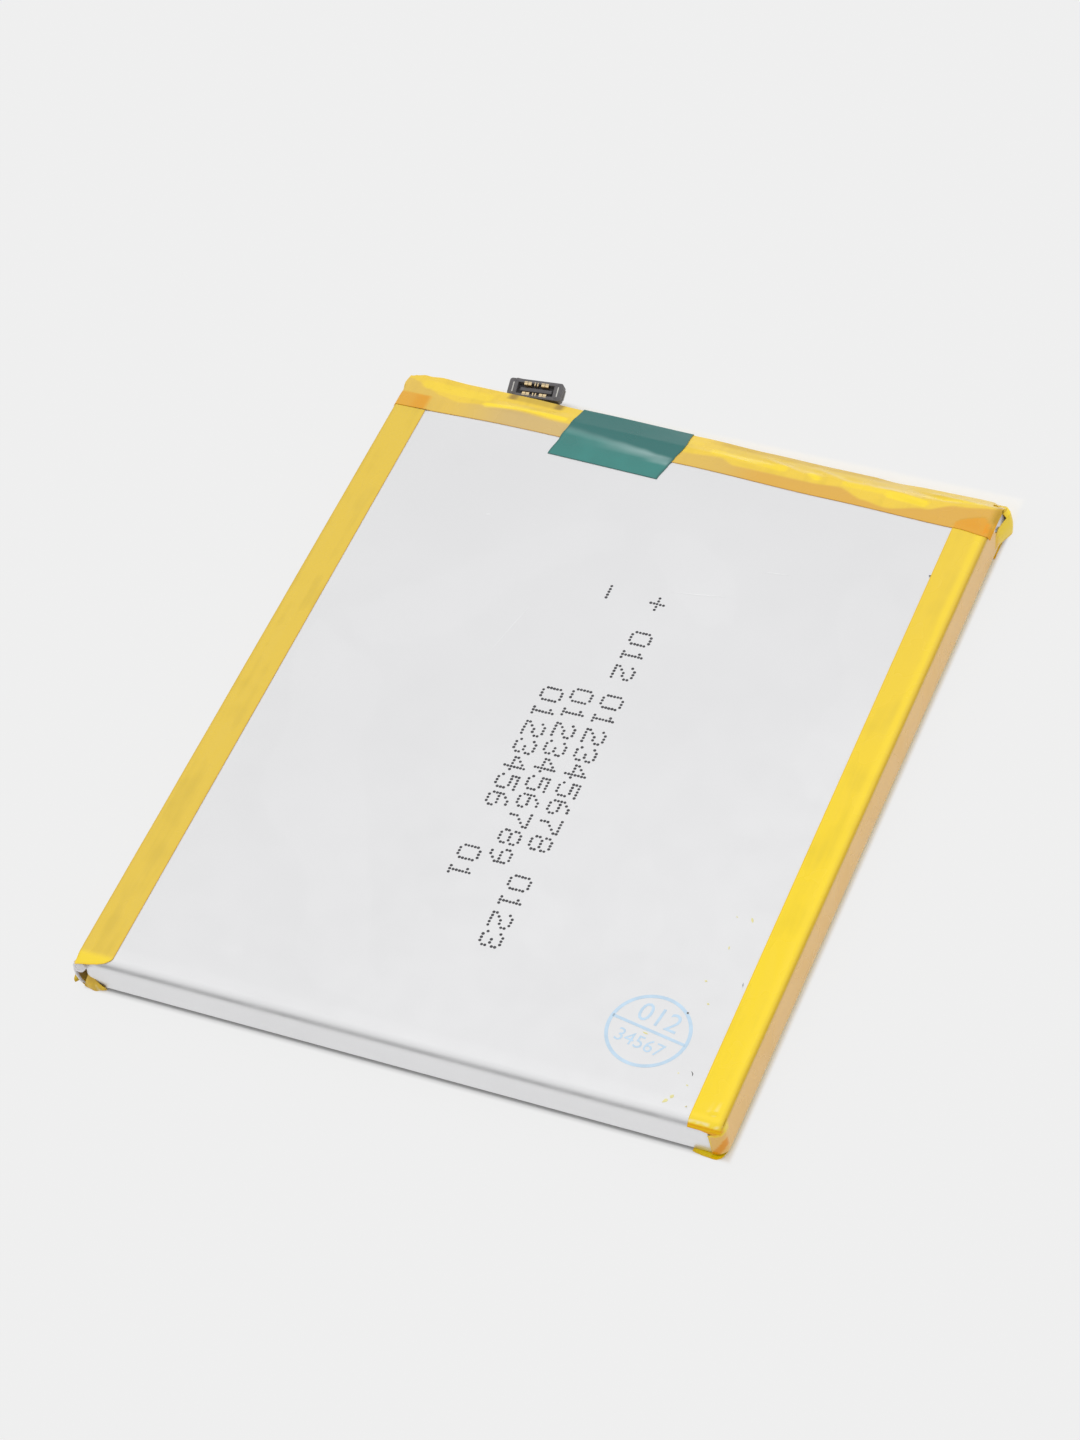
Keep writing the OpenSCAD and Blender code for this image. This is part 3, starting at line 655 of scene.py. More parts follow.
class CELL_OT_seal_ends(bpy.types.Operator):
    """Rolls up the left side seal's front end and lays the right seal's bare back end"""

    bl_idname = "cell.seal_ends"
    bl_label = "Seal ends"

    def execute(self, context):
        s = sizes(context)
        section = rounded_path(FILM_RIM, (0.3, 0.8, 0.6, 0.4), (2, 3, 3, 2, 2), 4)

        def rim_place(column, row):
            x, z = section[column]
            share = row / RIM_ROWS
            return x + 0.35 * (1 - share) ** 2, between(RIM_BACK, RIM_FRONT, share), z

        def ledge_place(column, row):
            y = between(LEDGE_FRONT, LEDGE_BACK, row / LEDGE_ROWS)
            share = column / LEDGE_COLUMNS * (0.35 + 0.65 * smooth(LEDGE_FRONT, LEDGE_FRONT + 1.5, y))
            return 32.15 + 0.45 * share, y, 3.65 - 1.1 * share + 0.05 * noise.noise((0.5, y, share))

        roll = self.bead()
        rim = lay_sheet("rim", len(section) - 1, RIM_ROWS, rim_place)
        thicken(rim, RIM_THICK)
        soften(rim, 0.05)
        ledge = lay_sheet("ledge", LEDGE_COLUMNS, LEDGE_ROWS, ledge_place)
        thicken(ledge, s.film)
        ends = join("seal_ends", [roll, rim, ledge])
        shade(ends, TAPE_SMOOTH)
        dress(ends, "film_edge", "pouch_film")
        return {"FINISHED"}

    def bead(self):
        """The rolled end: a short uneven roll with a sunk front, pinched towards the cell."""
        deselect()
        bpy.ops.mesh.primitive_cylinder_add(vertices=24, radius=BEAD_R * MM, depth=BEAD_LONG * MM)
        roll = named("roll")
        choose(roll, "FACE", lambda middle, normal: normal.z > 0.9)
        bpy.ops.mesh.inset(thickness=0.2 * MM)
        bpy.ops.mesh.extrude_region_move(TRANSFORM_OT_translate={"value": (0, 0, -0.05 * MM)})
        soften(roll, 0.12, 3)
        middle = BEAD_PLACE - BEAD_HEADING * BEAD_LONG / 2
        turn = BEAD_HEADING.to_track_quat("Z", "Y").to_matrix().to_4x4()
        roll.data.transform(Matrix.Translation(middle * MM) @ turn)
        for vertex in roll.data.vertices:
            vertex.co += vertex.normal * BEAD_ROUGH * noise.noise(vertex.co / (0.5 * MM)) * MM
            aside = vertex.co.x / MM - BEAD_PLACE.x
            vertex.co.x += 0.2 * aside * MM
            pinch = 0.6 * smooth(0.2, 0.8, aside)
            vertex.co.z += pinch * (BEAD_PLACE.z * MM - vertex.co.z)
        return roll


# Parts of an edge tape's three legs and of a turn, and the columns in the middle of its two turns
EDGE_STEPS, TURN_STEPS = (10, 12, 8), 6
TOP_FOLD = EDGE_STEPS[0] + TURN_STEPS // 2
FOOT_FOLD = EDGE_STEPS[0] + TURN_STEPS + EDGE_STEPS[1] + TURN_STEPS // 2
# Along the cell: start of the tongues, and back end of the tapes on the face
TONGUE_START, EDGE_BACK, WALL_ROWS = -38.4, 34.15, 3
# Cut edges on the face, at the front and the back, and on the underside; back line of the right wall
LEFT_INNER, LEFT_UNDER = (28.75, 28.85), 29.6
RIGHT_INNER, RIGHT_UNDER, RIGHT_WALL_BACK = (28.95, 28.5), 29.2, ((1.0, 36.6), (3.5, 34.8))
# Front lines of the tongues, and how far the left wall's tongue flares out
LEFT_FRONT = ((28.75, -39.3), (28.92, -39.6), (29.09, -39.82), (29.63, -40.1), (30.33, -40.3),
              (31.06, -40.47), (32.3, -40.68))
LEFT_WALL = ((0, -40.4), (1.2, -40.05), (2.6, -40.0), (4, -40.35))
LEFT_FOOT = ((29.9, -39.95), (30.2, -40.4), (30.9, -40.65), (31.6, -40.6), (32.4, -40.4))
RIGHT_FOOT = ((29.2, -40.42), (29.5, -40.52), (30.4, -40.65), (31.45, -40.72), (31.96, -40.44),
              (32.2, -39.8), (32.5, -38.7))
LEFT_FLARE = ((0, 0.8), (0.4, 0.85), (0.8, 0.75), (1.4, 0.52), (2.4, 0.56), (3.3, 0.35), (4, 0))
# Lining of the open left end: section from its top round to its foot, rows, front, back and inner wall
LINING = ((-31.5, 2.85), (-32.1, 2.65), (-32.46, 2.2), (-32.5, 1.4), (-32.3, 0.7), (-31.9, 0.32),
          (-31.2, 0.2))
LINING_ROWS, LINING_FRONT, LINING_BACK, LINING_WALL = 6, -40.24, -38.94, -31.75
# Loose flap below the open left corner: points on the table and above them on the wall
FLAP = (((-32.15, -40.42, 0.05), (-31.55, -40.12, 1.75)), ((-31.5, -40.63, 0.05), (-31.15, -40.18, 1.65)),
        ((-30.83, -40.62, 0.05), (-30.7, -40.32, 1.25)), ((-30.23, -40.46, 0.05), (-30.2, -40.34, 0.65)),
        ((-29.95, -40.2, 0.04), (-29.88, -40.22, 0.14)))
FLAP_STEPS, FLAP_ROWS = 4, 5
# Right corner: the wrap's radius, front and length, the turn of the tape over the front, an air bubble
WRAP_R, WRAP_FRONT, WRAP_RUN = 1.05, -40.28, 2.75
BUBBLE = (30.85, -38.6)
STRIP_TURN = ((28.9, 1.13), (30, 1.13), (31.2, 1.27), (31.7, 1.15), (32.2, 1.05))


def edge_section(s, inner, under, bulge):
    """Section of a right edge tape from its cut edge on the face round to the one on the underside."""
    top = CUP_HIGH.z + s.bond + s.tape / 2
    low = s.tape / 2
    foot = EDGE_HIGH.x - s.tape / 2
    crease = foot - s.wall_lean
    corners = [(inner, top), (crease + bulge, top), (foot + 0.4 * bulge, low), (under, low)]
    path = rounded_path(corners, (s.crease_r, 0.5), EDGE_STEPS, TURN_STEPS)
    path[1] = path[0].lerp(path[1], 0.45)
    return path


def edge_tape(s, side, name, inner, under, bulge, wall_back, tongues):
    """An edge tape: a long strip round the folded seal, and its front end cut into three tongues."""
    lengthwise = stations(TONGUE_START, EDGE_BACK, 1.2)
    columns = sum(EDGE_STEPS) + 2 * TURN_STEPS

    def along_strip(column, row):
        y = lengthwise[row]
        cut = between(*inner, (y - TONGUE_START) / (EDGE_BACK - TONGUE_START))
        x, z = edge_section(s, cut, under, bulge)[column]
        loose = 0.02 * noise.noise((y / 6, column / 5, side * 3.1))
        away = smooth(0, 4, column) * smooth(columns, columns - 4, column)
        return side * (x + away * loose * 0.5), y, z + away * loose * 0.25

    def along_wall(column, row):
        x, z = edge_section(s, inner[1], under, bulge)[TOP_FOLD + column]
        return side * x, between(EDGE_BACK, along(wall_back, z), row / WALL_ROWS), z

    sheets = [lay_sheet(name, columns, len(lengthwise) - 1, along_strip, ("first_column", "last_column")),
              lay_sheet("back_wall", FOOT_FOLD - TOP_FOLD, WALL_ROWS, along_wall)]
    section = edge_section(s, inner[0], under, bulge)
    spans = ((0, TOP_FOLD), (TOP_FOLD, FOOT_FOLD), (FOOT_FOLD, columns))
    sides = (("first_column", "first_row"), ("first_row",), ("last_column", "first_row"))
    for (first, last), cut, (rows, tongue) in zip(spans, sides, tongues):

        def along_tongue(column, row):
            x, y, z = tongue(*section[first + column], 1 - row / rows)
            return side * x, y, z

        sheets.append(lay_sheet("tongue", last - first, rows, along_tongue, cut))
    tape = join(name, sheets)
    weld(tape)
    make_tape(s, tape)
    return tape


def over_edge(start, run, radius, front):
    """Place and drop of a point that has run along a tape from start and over a round front edge."""
    flat = start - front - radius
    turn = min(max(run - flat, 0) / radius, math.pi / 2)
    down = max(run - flat - radius * math.pi / 2, 0)
    y = start - run if run < flat else front + radius * (1 - math.sin(turn))
    return y, -radius * (1 - math.cos(turn)) - down


class CELL_OT_right_tape(bpy.types.Operator):
    """Lays the right edge tape, with its front end folded over the cell's corner"""

    bl_idname = "cell.right_tape"
    bl_label = "Right edge tape"

    def execute(self, context):
        s = sizes(context)
        crease = EDGE_HIGH.x - s.tape / 2 - s.wall_lean
        lift = s.bond + s.tape / 2
        radius = s.edge_r + lift
        flat = TONGUE_START - FRONT_WALL - s.edge_r

        def top_tongue(x, z, share):
            run = share * (flat + radius * along(STRIP_TURN, x))
            y, drop = over_edge(TONGUE_START, run, radius, FRONT_WALL - lift)
            return x, y, z + drop + 0.14 * smooth(0.5, 0.1, math.dist((x, y), BUBBLE))

        def wall_tongue(x, z, share):
            y, inward = over_edge(TONGUE_START, WRAP_RUN * share, WRAP_R, WRAP_FRONT)
            drop = 0.28 * z * share * share
            return x + inward, y, z - drop + 0.25 * share * smooth(1.5, 0.2, z)

        def foot_tongue(x, z, share):
            return x, between(TONGUE_START, along(RIGHT_FOOT, x), share), z + 0.1 * share * share

        # Painted shade: darker along the crease on the face and along the low fold by the table.
        def creased(x, y, z):
            top = 0.6 * smooth(0.42, 0.05, abs(x - crease)) * smooth(3.6, 4.0, z)
            return top + 0.4 * smooth(0.8, 0.3, z) * smooth(0.1, 0.2, z) * smooth(-38.8, -38.4, y)

        tape = edge_tape(s, 1, "right_edge_film", RIGHT_INNER, RIGHT_UNDER, 0.0, RIGHT_WALL_BACK,
                         ((22, top_tongue), (24, wall_tongue), (8, foot_tongue)))
        # Painted light and shade: tan on the wall and darker creases as shade, brighter spots and pale glints as
        # highlights; the top is also made beige, more towards the back.
        marks(tape, side=self.painted_wall_shade, crease=creased, loose=self.bright, glow=self.deep, pale=self.glints,
              pressed=lambda x, y, z: (0.08 + 0.3 * smooth(-20, 30, y)) * smooth(3.9, 4.1, z))
        dress(tape, "right_tape", "amber_tape", "right_edge_tape")
        return {"FINISHED"}

    def painted_wall_shade(self, x, y, z):
        """Tan on the wall over the seal's folded film: painted shade."""
        wrap = smooth(30.9, 31.2, x) * smooth(3.1, 2.9, z)
        return smooth(4.1, 3.9, z) * smooth(0.2, 0.4, z) * max(wrap, smooth(-39.0, -38.6, y))

    def bright(self, x, y, z):
        """Painted highlight: brighter at the front end and beside the crease."""
        edge = 0.5 * smooth(30.8, 31.3, x) * smooth(32.0, 31.8, x)
        return max(0.8 * smooth(-38.6, -39.3, y), edge) * smooth(3.7, 3.9, z)

    def deep(self, x, y, z):
        """Orange: a slanted band on the corner's wrap, and two bands along the front fold."""
        slanted = smooth(0.75, 0.5, abs(z - 1.0 - (x - 31.75) * 1.5)) * smooth(-39.2, -39.5, y)
        fold = smooth(3.9, 3.83, z) * smooth(3.2, 3.25, z) * smooth(-39.6, -39.7, y)
        parted = 1 - 0.6 * smooth(0.09, 0.03, abs(z - 3.66))
        return slanted * smooth(2.4, 2.1, z) * smooth(0.25, 0.4, z) + 0.75 * fold * parted

    def glints(self, x, y, z):
        """Painted glints: pale spots round a bubble and along the front fold."""
        if z < 3.8:
            return 0.0
        ring = smooth(0.14, 0.04, abs(math.dist((x, y), BUBBLE) - 0.34))
        fold = smooth(0.12, 0.04, abs(z - 4.0)) * smooth(-39.5, -39.7, y)
        patchy = smooth(-0.1, 0.3, noise.noise((1.7 * x, 1.7 * y, 2.2)))
        return max(0.4 * ring * smooth(-0.2, 0.3, noise.noise((2 * x, 2 * y, 6.1))), 0.65 * fold * patchy)


class CELL_OT_left_tape(bpy.types.Operator):
    """Lays the left edge tape, whose front end stands open round the seal's rolled end"""

    bl_idname = "cell.left_tape"
    bl_label = "Left edge tape"

    def execute(self, context):
        s = sizes(context)
        crease = EDGE_HIGH.x - s.tape / 2 - s.wall_lean + s.left_bulge - 0.05

        def top_tongue(x, z, share):
            y = between(TONGUE_START, along(LEFT_FRONT, x), share)
            return x, y, z - 0.4 * smooth(-39.2, -41.0, y)

        def wall_tongue(x, z, share):
            y = between(TONGUE_START, along(LEFT_WALL, z), share)
            return x + along(LEFT_FLARE, z) * share * share, y, z - 0.3 * share * smooth(3, 4, z)

        def foot_tongue(x, z, share):
            return x, between(TONGUE_START, along(LEFT_FOOT, x), share), z + 0.28 * share ** 3

        tape = edge_tape(s, -1, "left_edge_film", LEFT_INNER, LEFT_UNDER, s.left_bulge,
                         ((0, s.cup_back),), ((10, top_tongue), (10, wall_tongue), (8, foot_tongue)))
        # Painted highlight at the open front end and low on the wall, and painted shade along the crease.
        marks(tape, loose=self.bright,
              crease=lambda x, y, z: 0.35 * smooth(0.25, 0.05, abs(x + crease)) * smooth(3.8, 4.1, z),
              olive=lambda x, y, z: 0.8 * smooth(-39.2, -39.6, y) * smooth(0.5, 0.3, z))
        tape = join("left_edge_film", [tape, self.lining(s), self.flap(s)])
        dress(tape, "left_tape", "amber_tape", "left_edge_tape")
        return {"FINISHED"}

    def bright(self, x, y, z):
        """Painted highlight: brighter at the open front end, on the face and low on the wall."""
        low = smooth(1.8, 1.2, z) * smooth(-32.5, -32.7, x)
        return 0.9 * smooth(-38.9, -39.7, y) * max(smooth(3.5, 3.7, z), low)

    def lining(self, s):
        """The inside of the open end, closing towards the back, painted dark as shade, most towards its top."""
        section = rounded_path(LINING, (0.3, 0.4, 0.6, 0.5, 0.5), (2,) * 6, 4)

        def place(column, row):
            x, z = section[column]
            share = row / LINING_ROWS
            closed = share ** 1.5 * smooth(-31.6, -31.9, x)
            return between(x, LINING_WALL, closed), between(LINING_FRONT, LINING_BACK, share), z

        lining = lay_sheet("lining", len(section) - 1, LINING_ROWS, place)
        make_tape(s, lining)
        marks(lining, dark_below=lambda x, y, z: 0.25 + 0.7 * smooth(0.3, 1.4, z),
              olive=lambda x, y, z: 0.8)
        return lining

    def flap(self, s):
        """The loose flap below the open end, crumpled along its foot."""
        def place(column, row):
            spot, share = column / FLAP_STEPS, row / FLAP_ROWS
            first = min(int(spot), len(FLAP) - 2)
            low, high = (Vector(start).lerp(Vector(end), spot - first)
                         for start, end in zip(FLAP[first], FLAP[first + 1]))
            x, y, z = low.lerp(high, share)
            crumple = 0.1 * noise.noise((3 * x, 3 * z, 0.4)) * (1 - share)
            return x, y - 0.1 * math.sin(math.pi * share) + crumple, z

        flap = lay_sheet("flap", FLAP_STEPS * (len(FLAP) - 1), FLAP_ROWS, place,
                         ("first_row", "last_column"))
        make_tape(s, flap)
        # Painted shade on its upper part, a painted highlight along its low edge and a painted glint in a thin
        # line.
        marks(flap, olive=lambda x, y, z: 0.3 + 0.6 * noise.noise((3 * x, 3 * z, 1.2)),
              dark_below=lambda x, y, z: 0.25 * smooth(0.9, 1.9, z), glow=lambda x, y, z: 0.2,
              loose=lambda x, y, z: 0.45 * smooth(1.3, 0.8, z),
              pale=lambda x, y, z: 0.7 * smooth(0.14, 0.06, abs(x + 30.45 + 0.4 * z)) * smooth(0.9, 0.6, z))
        return flap


# End tape across the cell: front line, shoulder, shift of the back wall and height of its top edge
END_FRONT = ((-32.3, 34.15), (-20, 34.45), (0, 34.2), (15, 33.75), (29, 33.42), (32.3, 33.1))
END_SHOULDER = ((-32.3, 37.5), (-29.6, 36.8), (-27, 36.4), (-23, 36.7), (-14, 36.5), (0, 36.35),
                (20, 36.3), (26, 36.4), (29, 36.7), (32.3, 37.1))
END_WALL = ((-32.3, -0.85), (-31.8, -0.6), (-31, -0.25), (-29, 0), (30.6, 0), (31.4, -0.3), (31.9, -0.7),
            (32.3, -1.2))
END_BACK = ((-32.3, 3.8), (-30, 3.45), (-26, 3.2), (-20, 3.15), (-13, 2.9), (0, 2.6), (7, 2.3),
            (14, 2.1), (18, 2.05), (20.5, 1.85), (24, 2.0), (29, 2.05), (31, 2.0), (31.6, 2.2), (32.3, 2.9))
# Soft folds: start, end, half width and height
END_FOLDS = (((-24, 36.2), (-13.5, 37.4), 0.5, 0.16), ((-23.5, 37.9), (-14.0, 38.4), 0.4, -0.1),
             ((2.5, 36.6), (9.0, 35.6), 0.35, 0.14), ((6.5, 38.2), (12.5, 35.9), 0.4, 0.16),
             ((12.0, 38.4), (17.5, 35.8), 0.45, 0.18), ((16.0, 37.6), (21.0, 34.6), 0.4, -0.14),
             ((19.5, 36.9), (25.5, 35.6), 0.45, 0.22), ((22.0, 38.4), (29.0, 36.2), 0.5, -0.16),
             ((24.0, 38.3), (31.5, 37.3), 0.4, 0.16))
# Where the tape is pressed on the film its front part looks beige and is painted darker than the lit slope behind
# it, partly as painted shade, up to this line
END_PRESSED = ((-32.3, 38.3), (-31.3, 38.0), (-29.8, 37.2), (-28, 36.5), (-26, 36.1), (-23.6, 36.4),
               (-18.9, 36.5), (-14.3, 36.3), (-0.8, 35.8), (3, 36.1), (4.8, 35.4), (13.1, 35.3),
               (15.9, 35.5), (18.8, 34.5), (21.2, 34.1), (25, 35.0), (28, 36.2), (32, 36.9))
# Loose folds painted bright as light coming through them: start, end, half width and strength
END_GLEAMS = (((-22.9, 36.55), (-20.0, 37.0), 0.4, 1.0), ((-19.6, 37.1), (-14.4, 36.95), 0.36, 1.0),
              ((-30, 37.9), (-23.5, 37.8), 0.8, 0.4), ((2.2, 37.0), (9.6, 36.5), 0.6, 0.7),
              ((12.6, 36.6), (13.4, 36.1), 0.4, 1.0), ((15.0, 37.5), (15.8, 37.6), 0.22, 1.0),
              ((16.5, 36.2), (20.6, 36.3), 0.5, 0.6), ((21.1, 35.95), (24.8, 35.7), 0.5, 1.0),
              ((24.6, 37.3), (30.2, 37.6), 0.42, 1.0), ((-13.5, 38.0), (0, 38.0), 0.5, 0.2))
# Brighter three-cornered spot in the lap on the right edge tape, and the lap's back line
LAP_SPOT = ((31.45, 33.35), (31.6, 35.05), (32.25, 33.5))
LAP_BACK = ((28.3, 33.4), (28.64, 34.29), (29.2, 34.75), (29.77, 35.02), (30.6, 35.35), (31.28, 35.5),
            (31.8, 35.0), (32.4, 34.2))
# Slot for the flex circuit: its heights, and its gap beside the circuit
SLOT_LOW, SLOT_HIGH, SLOT_GAP = 1.18, 1.7, 0.2
# Loose ear: heights of its edges along the cell, and the rows of its wall and of its fold
EAR_LOW = ((34.5, 0.9), (35.6, 0.6), (37.5, 0.45), (39.2, 0.6))
EAR_HIGH = ((34.5, 1.3), (35.3, 2.4), (36, 2.9), (37.5, 3.2), (38.4, 3.0), (39.3, 2.4))
EAR_ROWS, EAR_FOLD = 8, 3
# Overhang past the solid tape's sides, and the parts of the section's legs
END_OVERHANG, END_STEPS = 0.24, (18, 16, 3, 2, 3, 6)


def fold_height(x, y):
    """Rise of the end tape's loose part: listed soft folds and a fine crumple."""
    rise = 0.06 * smooth(1, 5, x) * smooth(31, 27, x) * noise.noise((x / 1.6, y / 1.3, 2.7))
    for start, end, width, height in END_FOLDS:
        share, aside = from_line(x, y, start, end)
        rise += height * math.sin(math.pi * share) * math.exp(-(aside / width) ** 2)
    return rise + 0.02 * noise.noise((x / 4.0, y / 2.5, 5.1))


def end_section(s, x, lift, front, under):
    """Section of the tape over the board end at a place across the cell, a lift above the film."""
    top = CUP_HIGH.z + lift
    wall = END_HIGH.y - s.tape - s.bond + lift + along(END_WALL, x)
    back = along(END_BACK, x) + lift
    slot_high = min(SLOT_HIGH, back - 0.45)
    slot_low = min(SLOT_LOW, slot_high - 0.2)
    low = s.tape / 2
    corners = [(front, top), (along(END_SHOULDER, x), top), (wall, back), (wall, slot_high),
               (wall, slot_low), (wall, low), (under, low)]
    return rounded_path(corners, (s.shoulder_r, 0.18, 0, 0, 0.28), END_STEPS, TURN_STEPS)


def loosen(x, y, z, front):
    """Height of a point of the end tape's top, moved by its folds and up over the edge tapes."""
    free = smooth(front + 0.8, front + 2.2, y) * smooth(39.5, 38.7, y) * smooth(1.4, 2.4, z)
    rise = fold_height(x, y)
    if y < 36.9:
        rise = max(rise, 0)
    over = 0.07 * smooth(28.3, 28.8, abs(x)) * smooth(36.4, 35.9, y) * smooth(3.7, 4.0, z)
    return z + free * rise + over


class CELL_OT_end_tape(bpy.types.Operator):
    """Wraps the end tape over the board, with its creased slope, side panels, slot and loose ear"""

    bl_idname = "cell.end_tape"
    bl_label = "End tape"

    def execute(self, context):
        s = sizes(context)
        lift = s.bond + s.tape / 2
        half = -END_LOW.x - s.tape / 2 + END_OVERHANG
        slot = (FLEX_LOW.x - SLOT_GAP, FLEX_HIGH.x + SLOT_GAP)
        across = stations(-half, half, 0.25, slot)
        rows = sum(END_STEPS) + 5 * TURN_STEPS

        def place(column, row):
            x = across[column]
            front = along(END_FRONT, x)
            y, z = end_section(s, x, lift, front, EDGE_BACK)[row]
            if row == 1:
                y = front + 0.14
            over_side = 0.4 * smooth(half - 0.3, half, abs(x)) * smooth(37.2, 36.6, y) * smooth(3.6, 3.9, z)
            return x, y, loosen(x, y, z, front) - over_side

        tape = lay_sheet("end_film", len(across) - 1, rows, place, ("first_row", "last_row"))
        wall = END_HIGH.y - s.tape / 2
        choose(tape, "FACE", lambda middle, normal: abs(middle.y - wall) < 0.05
               and slot[0] < middle.x < slot[1] and SLOT_LOW < middle.z < SLOT_HIGH)
        bpy.ops.mesh.delete(type="FACE")
        for side in (-1, 1):
            choose(tape, "EDGE", lambda middle, heading: side * middle.x > half - NEAR
                   and middle.y > s.cup_back + 0.25)
            bpy.ops.mesh.edge_face_add()
        tape = join("end_film", [tape, self.ear(half)])
        weld(tape)
        make_tape(s, tape)

        # Painted shade: darker along the back edge, the right end's fold and the lap's back line.
        def creased(x, y, z):
            back = 0.5 * smooth(38.3, 39.0, y) * smooth(0, 3, x) * smooth(24, 18, x) * smooth(1.5, 2, z)
            corner = 0.85 * smooth(31.5, 32.1, x) * smooth(half + 0.1, half, x) * smooth(34.6, 35.4, y)
            lap = 0.4 * smooth(0.14, 0.03, abs(y - along(LAP_BACK, x))) * smooth(28.3, 28.6, x)
            return back + corner * smooth(3.4, 3.6, z) + lap * smooth(3.6, 3.9, z)

        # Beige on the pressed front part, and darker than the lit slope: partly painted shade.
        def beige(x, y, z):
            return self.stuck(x, y) * smooth(3, 3.8, z) * (0.6 + 0.3 * smooth(-5, 5, x))

        # Greyer on the pressed front part left of the middle: painted shade.
        def dull(x, y, z):
            return 0.6 * smooth(-3, -8, x) * smooth(-27, -19, x) * smooth(2, 3, z) * self.stuck(x, y)

        # Painted shade along folds and on the pressed front part, and painted light on loose folds, the ear and
        # the back slope.
        marks(tape, second_layer=self.layers, dark_below=self.shadowed, pressed=beige, side=dull,
              glow=self.bright_spot, olive=self.painted_back_fold_light, loose=self.gleam, crease=creased)
        dress(tape, "end_tape", "amber_tape", "end_tape")
        return {"FINISHED"}

    def ear(self, half):
        """The loose ear at the right back corner, with its top folded in."""
        run = rounded_path([(half - 1.4, 38.45), (half - 0.15, 38.75), (half + 0.8, 37.75),
                            (half + 0.02, 35.7), (half - 0.1, 34.5)], (0.6, 0.8, 1.2), (3, 4, 5, 5))

        def place(column, row):
            x, y = run[column]
            share = min(row / EAR_ROWS, 1)
            inner = smooth(half - 0.4, half - 1.2, x)
            fold = max(row - EAR_ROWS, 0) / EAR_FOLD * smooth(37.0, 37.6, y) * (1 - inner)
            z = between(along(EAR_LOW, y), along(EAR_HIGH, y) - 1.2 * inner, share)
            bow = 0.1 * math.sin(math.pi * share) * smooth(34.6, 36, y)
            return x + bow - 0.12 * share * share - 0.85 * fold, y - 0.35 * fold, z + 0.3 * fold

        return lay_sheet("ear", len(run) - 1, EAR_ROWS + EAR_FOLD, place,
                         ("first_row", "last_row", "last_column"))

    def stuck(self, x, y):
        """Where the front part of the tape is pressed on the film."""
        return smooth(0.2, -0.2, y - along(END_PRESSED, x))

    def right_lap(self, x, y):
        """Where the end tape lies on the right edge tape."""
        return smooth(28.35, 28.6, x) * smooth(0.12, -0.12, y - along(LAP_BACK, x))

    def painted_back_fold_light(self, x, y, z):
        """Painted light: deeper yellow along the back fold of the right half."""
        return 0.35 * smooth(36.9, 37.8, y) * smooth(1.5, 2.2, z) * smooth(1, 5, x) * smooth(32.3, 31.5, x)

    def shadowed(self, x, y, z):
        """Dark over the board's parts beside the flex circuit."""
        aside = abs(x - HINGE.x - 1.1)
        shown = smooth(3.2, 2.8, aside) * smooth(38.4, 38.7, y) * smooth(2.4, 2.9, z)
        return shown * (0.35 + 0.45 * smooth(1.9, 2.4, aside))

    def gleam(self, x, y, z):
        """Painted light: how bright a loose fold is, by its distance from the folds' lines."""
        most = 0.8 * smooth(32.35, 32.5, x)
        if z < 1.5:
            return most
        most = max(most, self.painted_back_fold_light(x, y, z), 0.15 * self.right_lap(x, y))
        for start, end, width, strength in END_GLEAMS:
            away = from_line(x, y, start, end)[1] / width
            most = max(most, strength * smooth(1.25, 0.6, away))
        return most

    def bright_spot(self, x, y, z):
        """Bright orange: the right lap with its three-cornered spot, and the ear's low end."""
        inside = 1.0
        for start, end in zip(LAP_SPOT, LAP_SPOT[1:] + LAP_SPOT[:1]):
            run = Vector(end) - Vector(start)
            inside *= smooth(0.08, -0.08, run.normalized().cross(Vector((x, y)) - Vector(start)))
        lap = max(0.9 * inside, 0.25 * self.right_lap(x, y)) * smooth(3.5, 3.7, z)
        return max(lap, 0.6 * smooth(32.35, 32.5, x) * smooth(35.8, 35.0, y))

    def layers(self, x, y, z):
        """Orange where the end tape lies on an edge tape, and deeper where the right half is stuck, partly as
        painted shade.
        """
        deeper = 0.42 * smooth(3, 8, x) * self.stuck(x, y) * smooth(3, 3.8, z)
        if z < 3.5:
            return deeper
        left = smooth(-28.65, -29.25, x) * smooth(36.25, 35.95, y) * (0.75 + 0.25 * smooth(-31, -30, x))
        return max(left, self.right_lap(x, y) * (0.85 + 0.15 * noise.noise((x, y, 1.7))), deeper)


# Ridge where the green tape bridges the step onto the end tape, and the tape's two cut sides
GREEN_STREAK = ((-14, 35.6), (-12.4, 35.43), (-10.5, 35.2), (-7.75, 34.88), (-5, 34.55), (-3, 34.2),
                (-1, 34.0))
GREEN_LEFT = ((31.9, -14.2), (34.5, -13.8), (36.3, -13.5), (39.6, -13.4))
GREEN_RIGHT = ((31.6, -2.1), (33.9, -1.65), (34.5, -1.4), (36.4, -0.95), (39.6, -1.35))
GREEN_COLUMNS, STEP_ROWS, STEP_LAP = 48, 8, 0.3


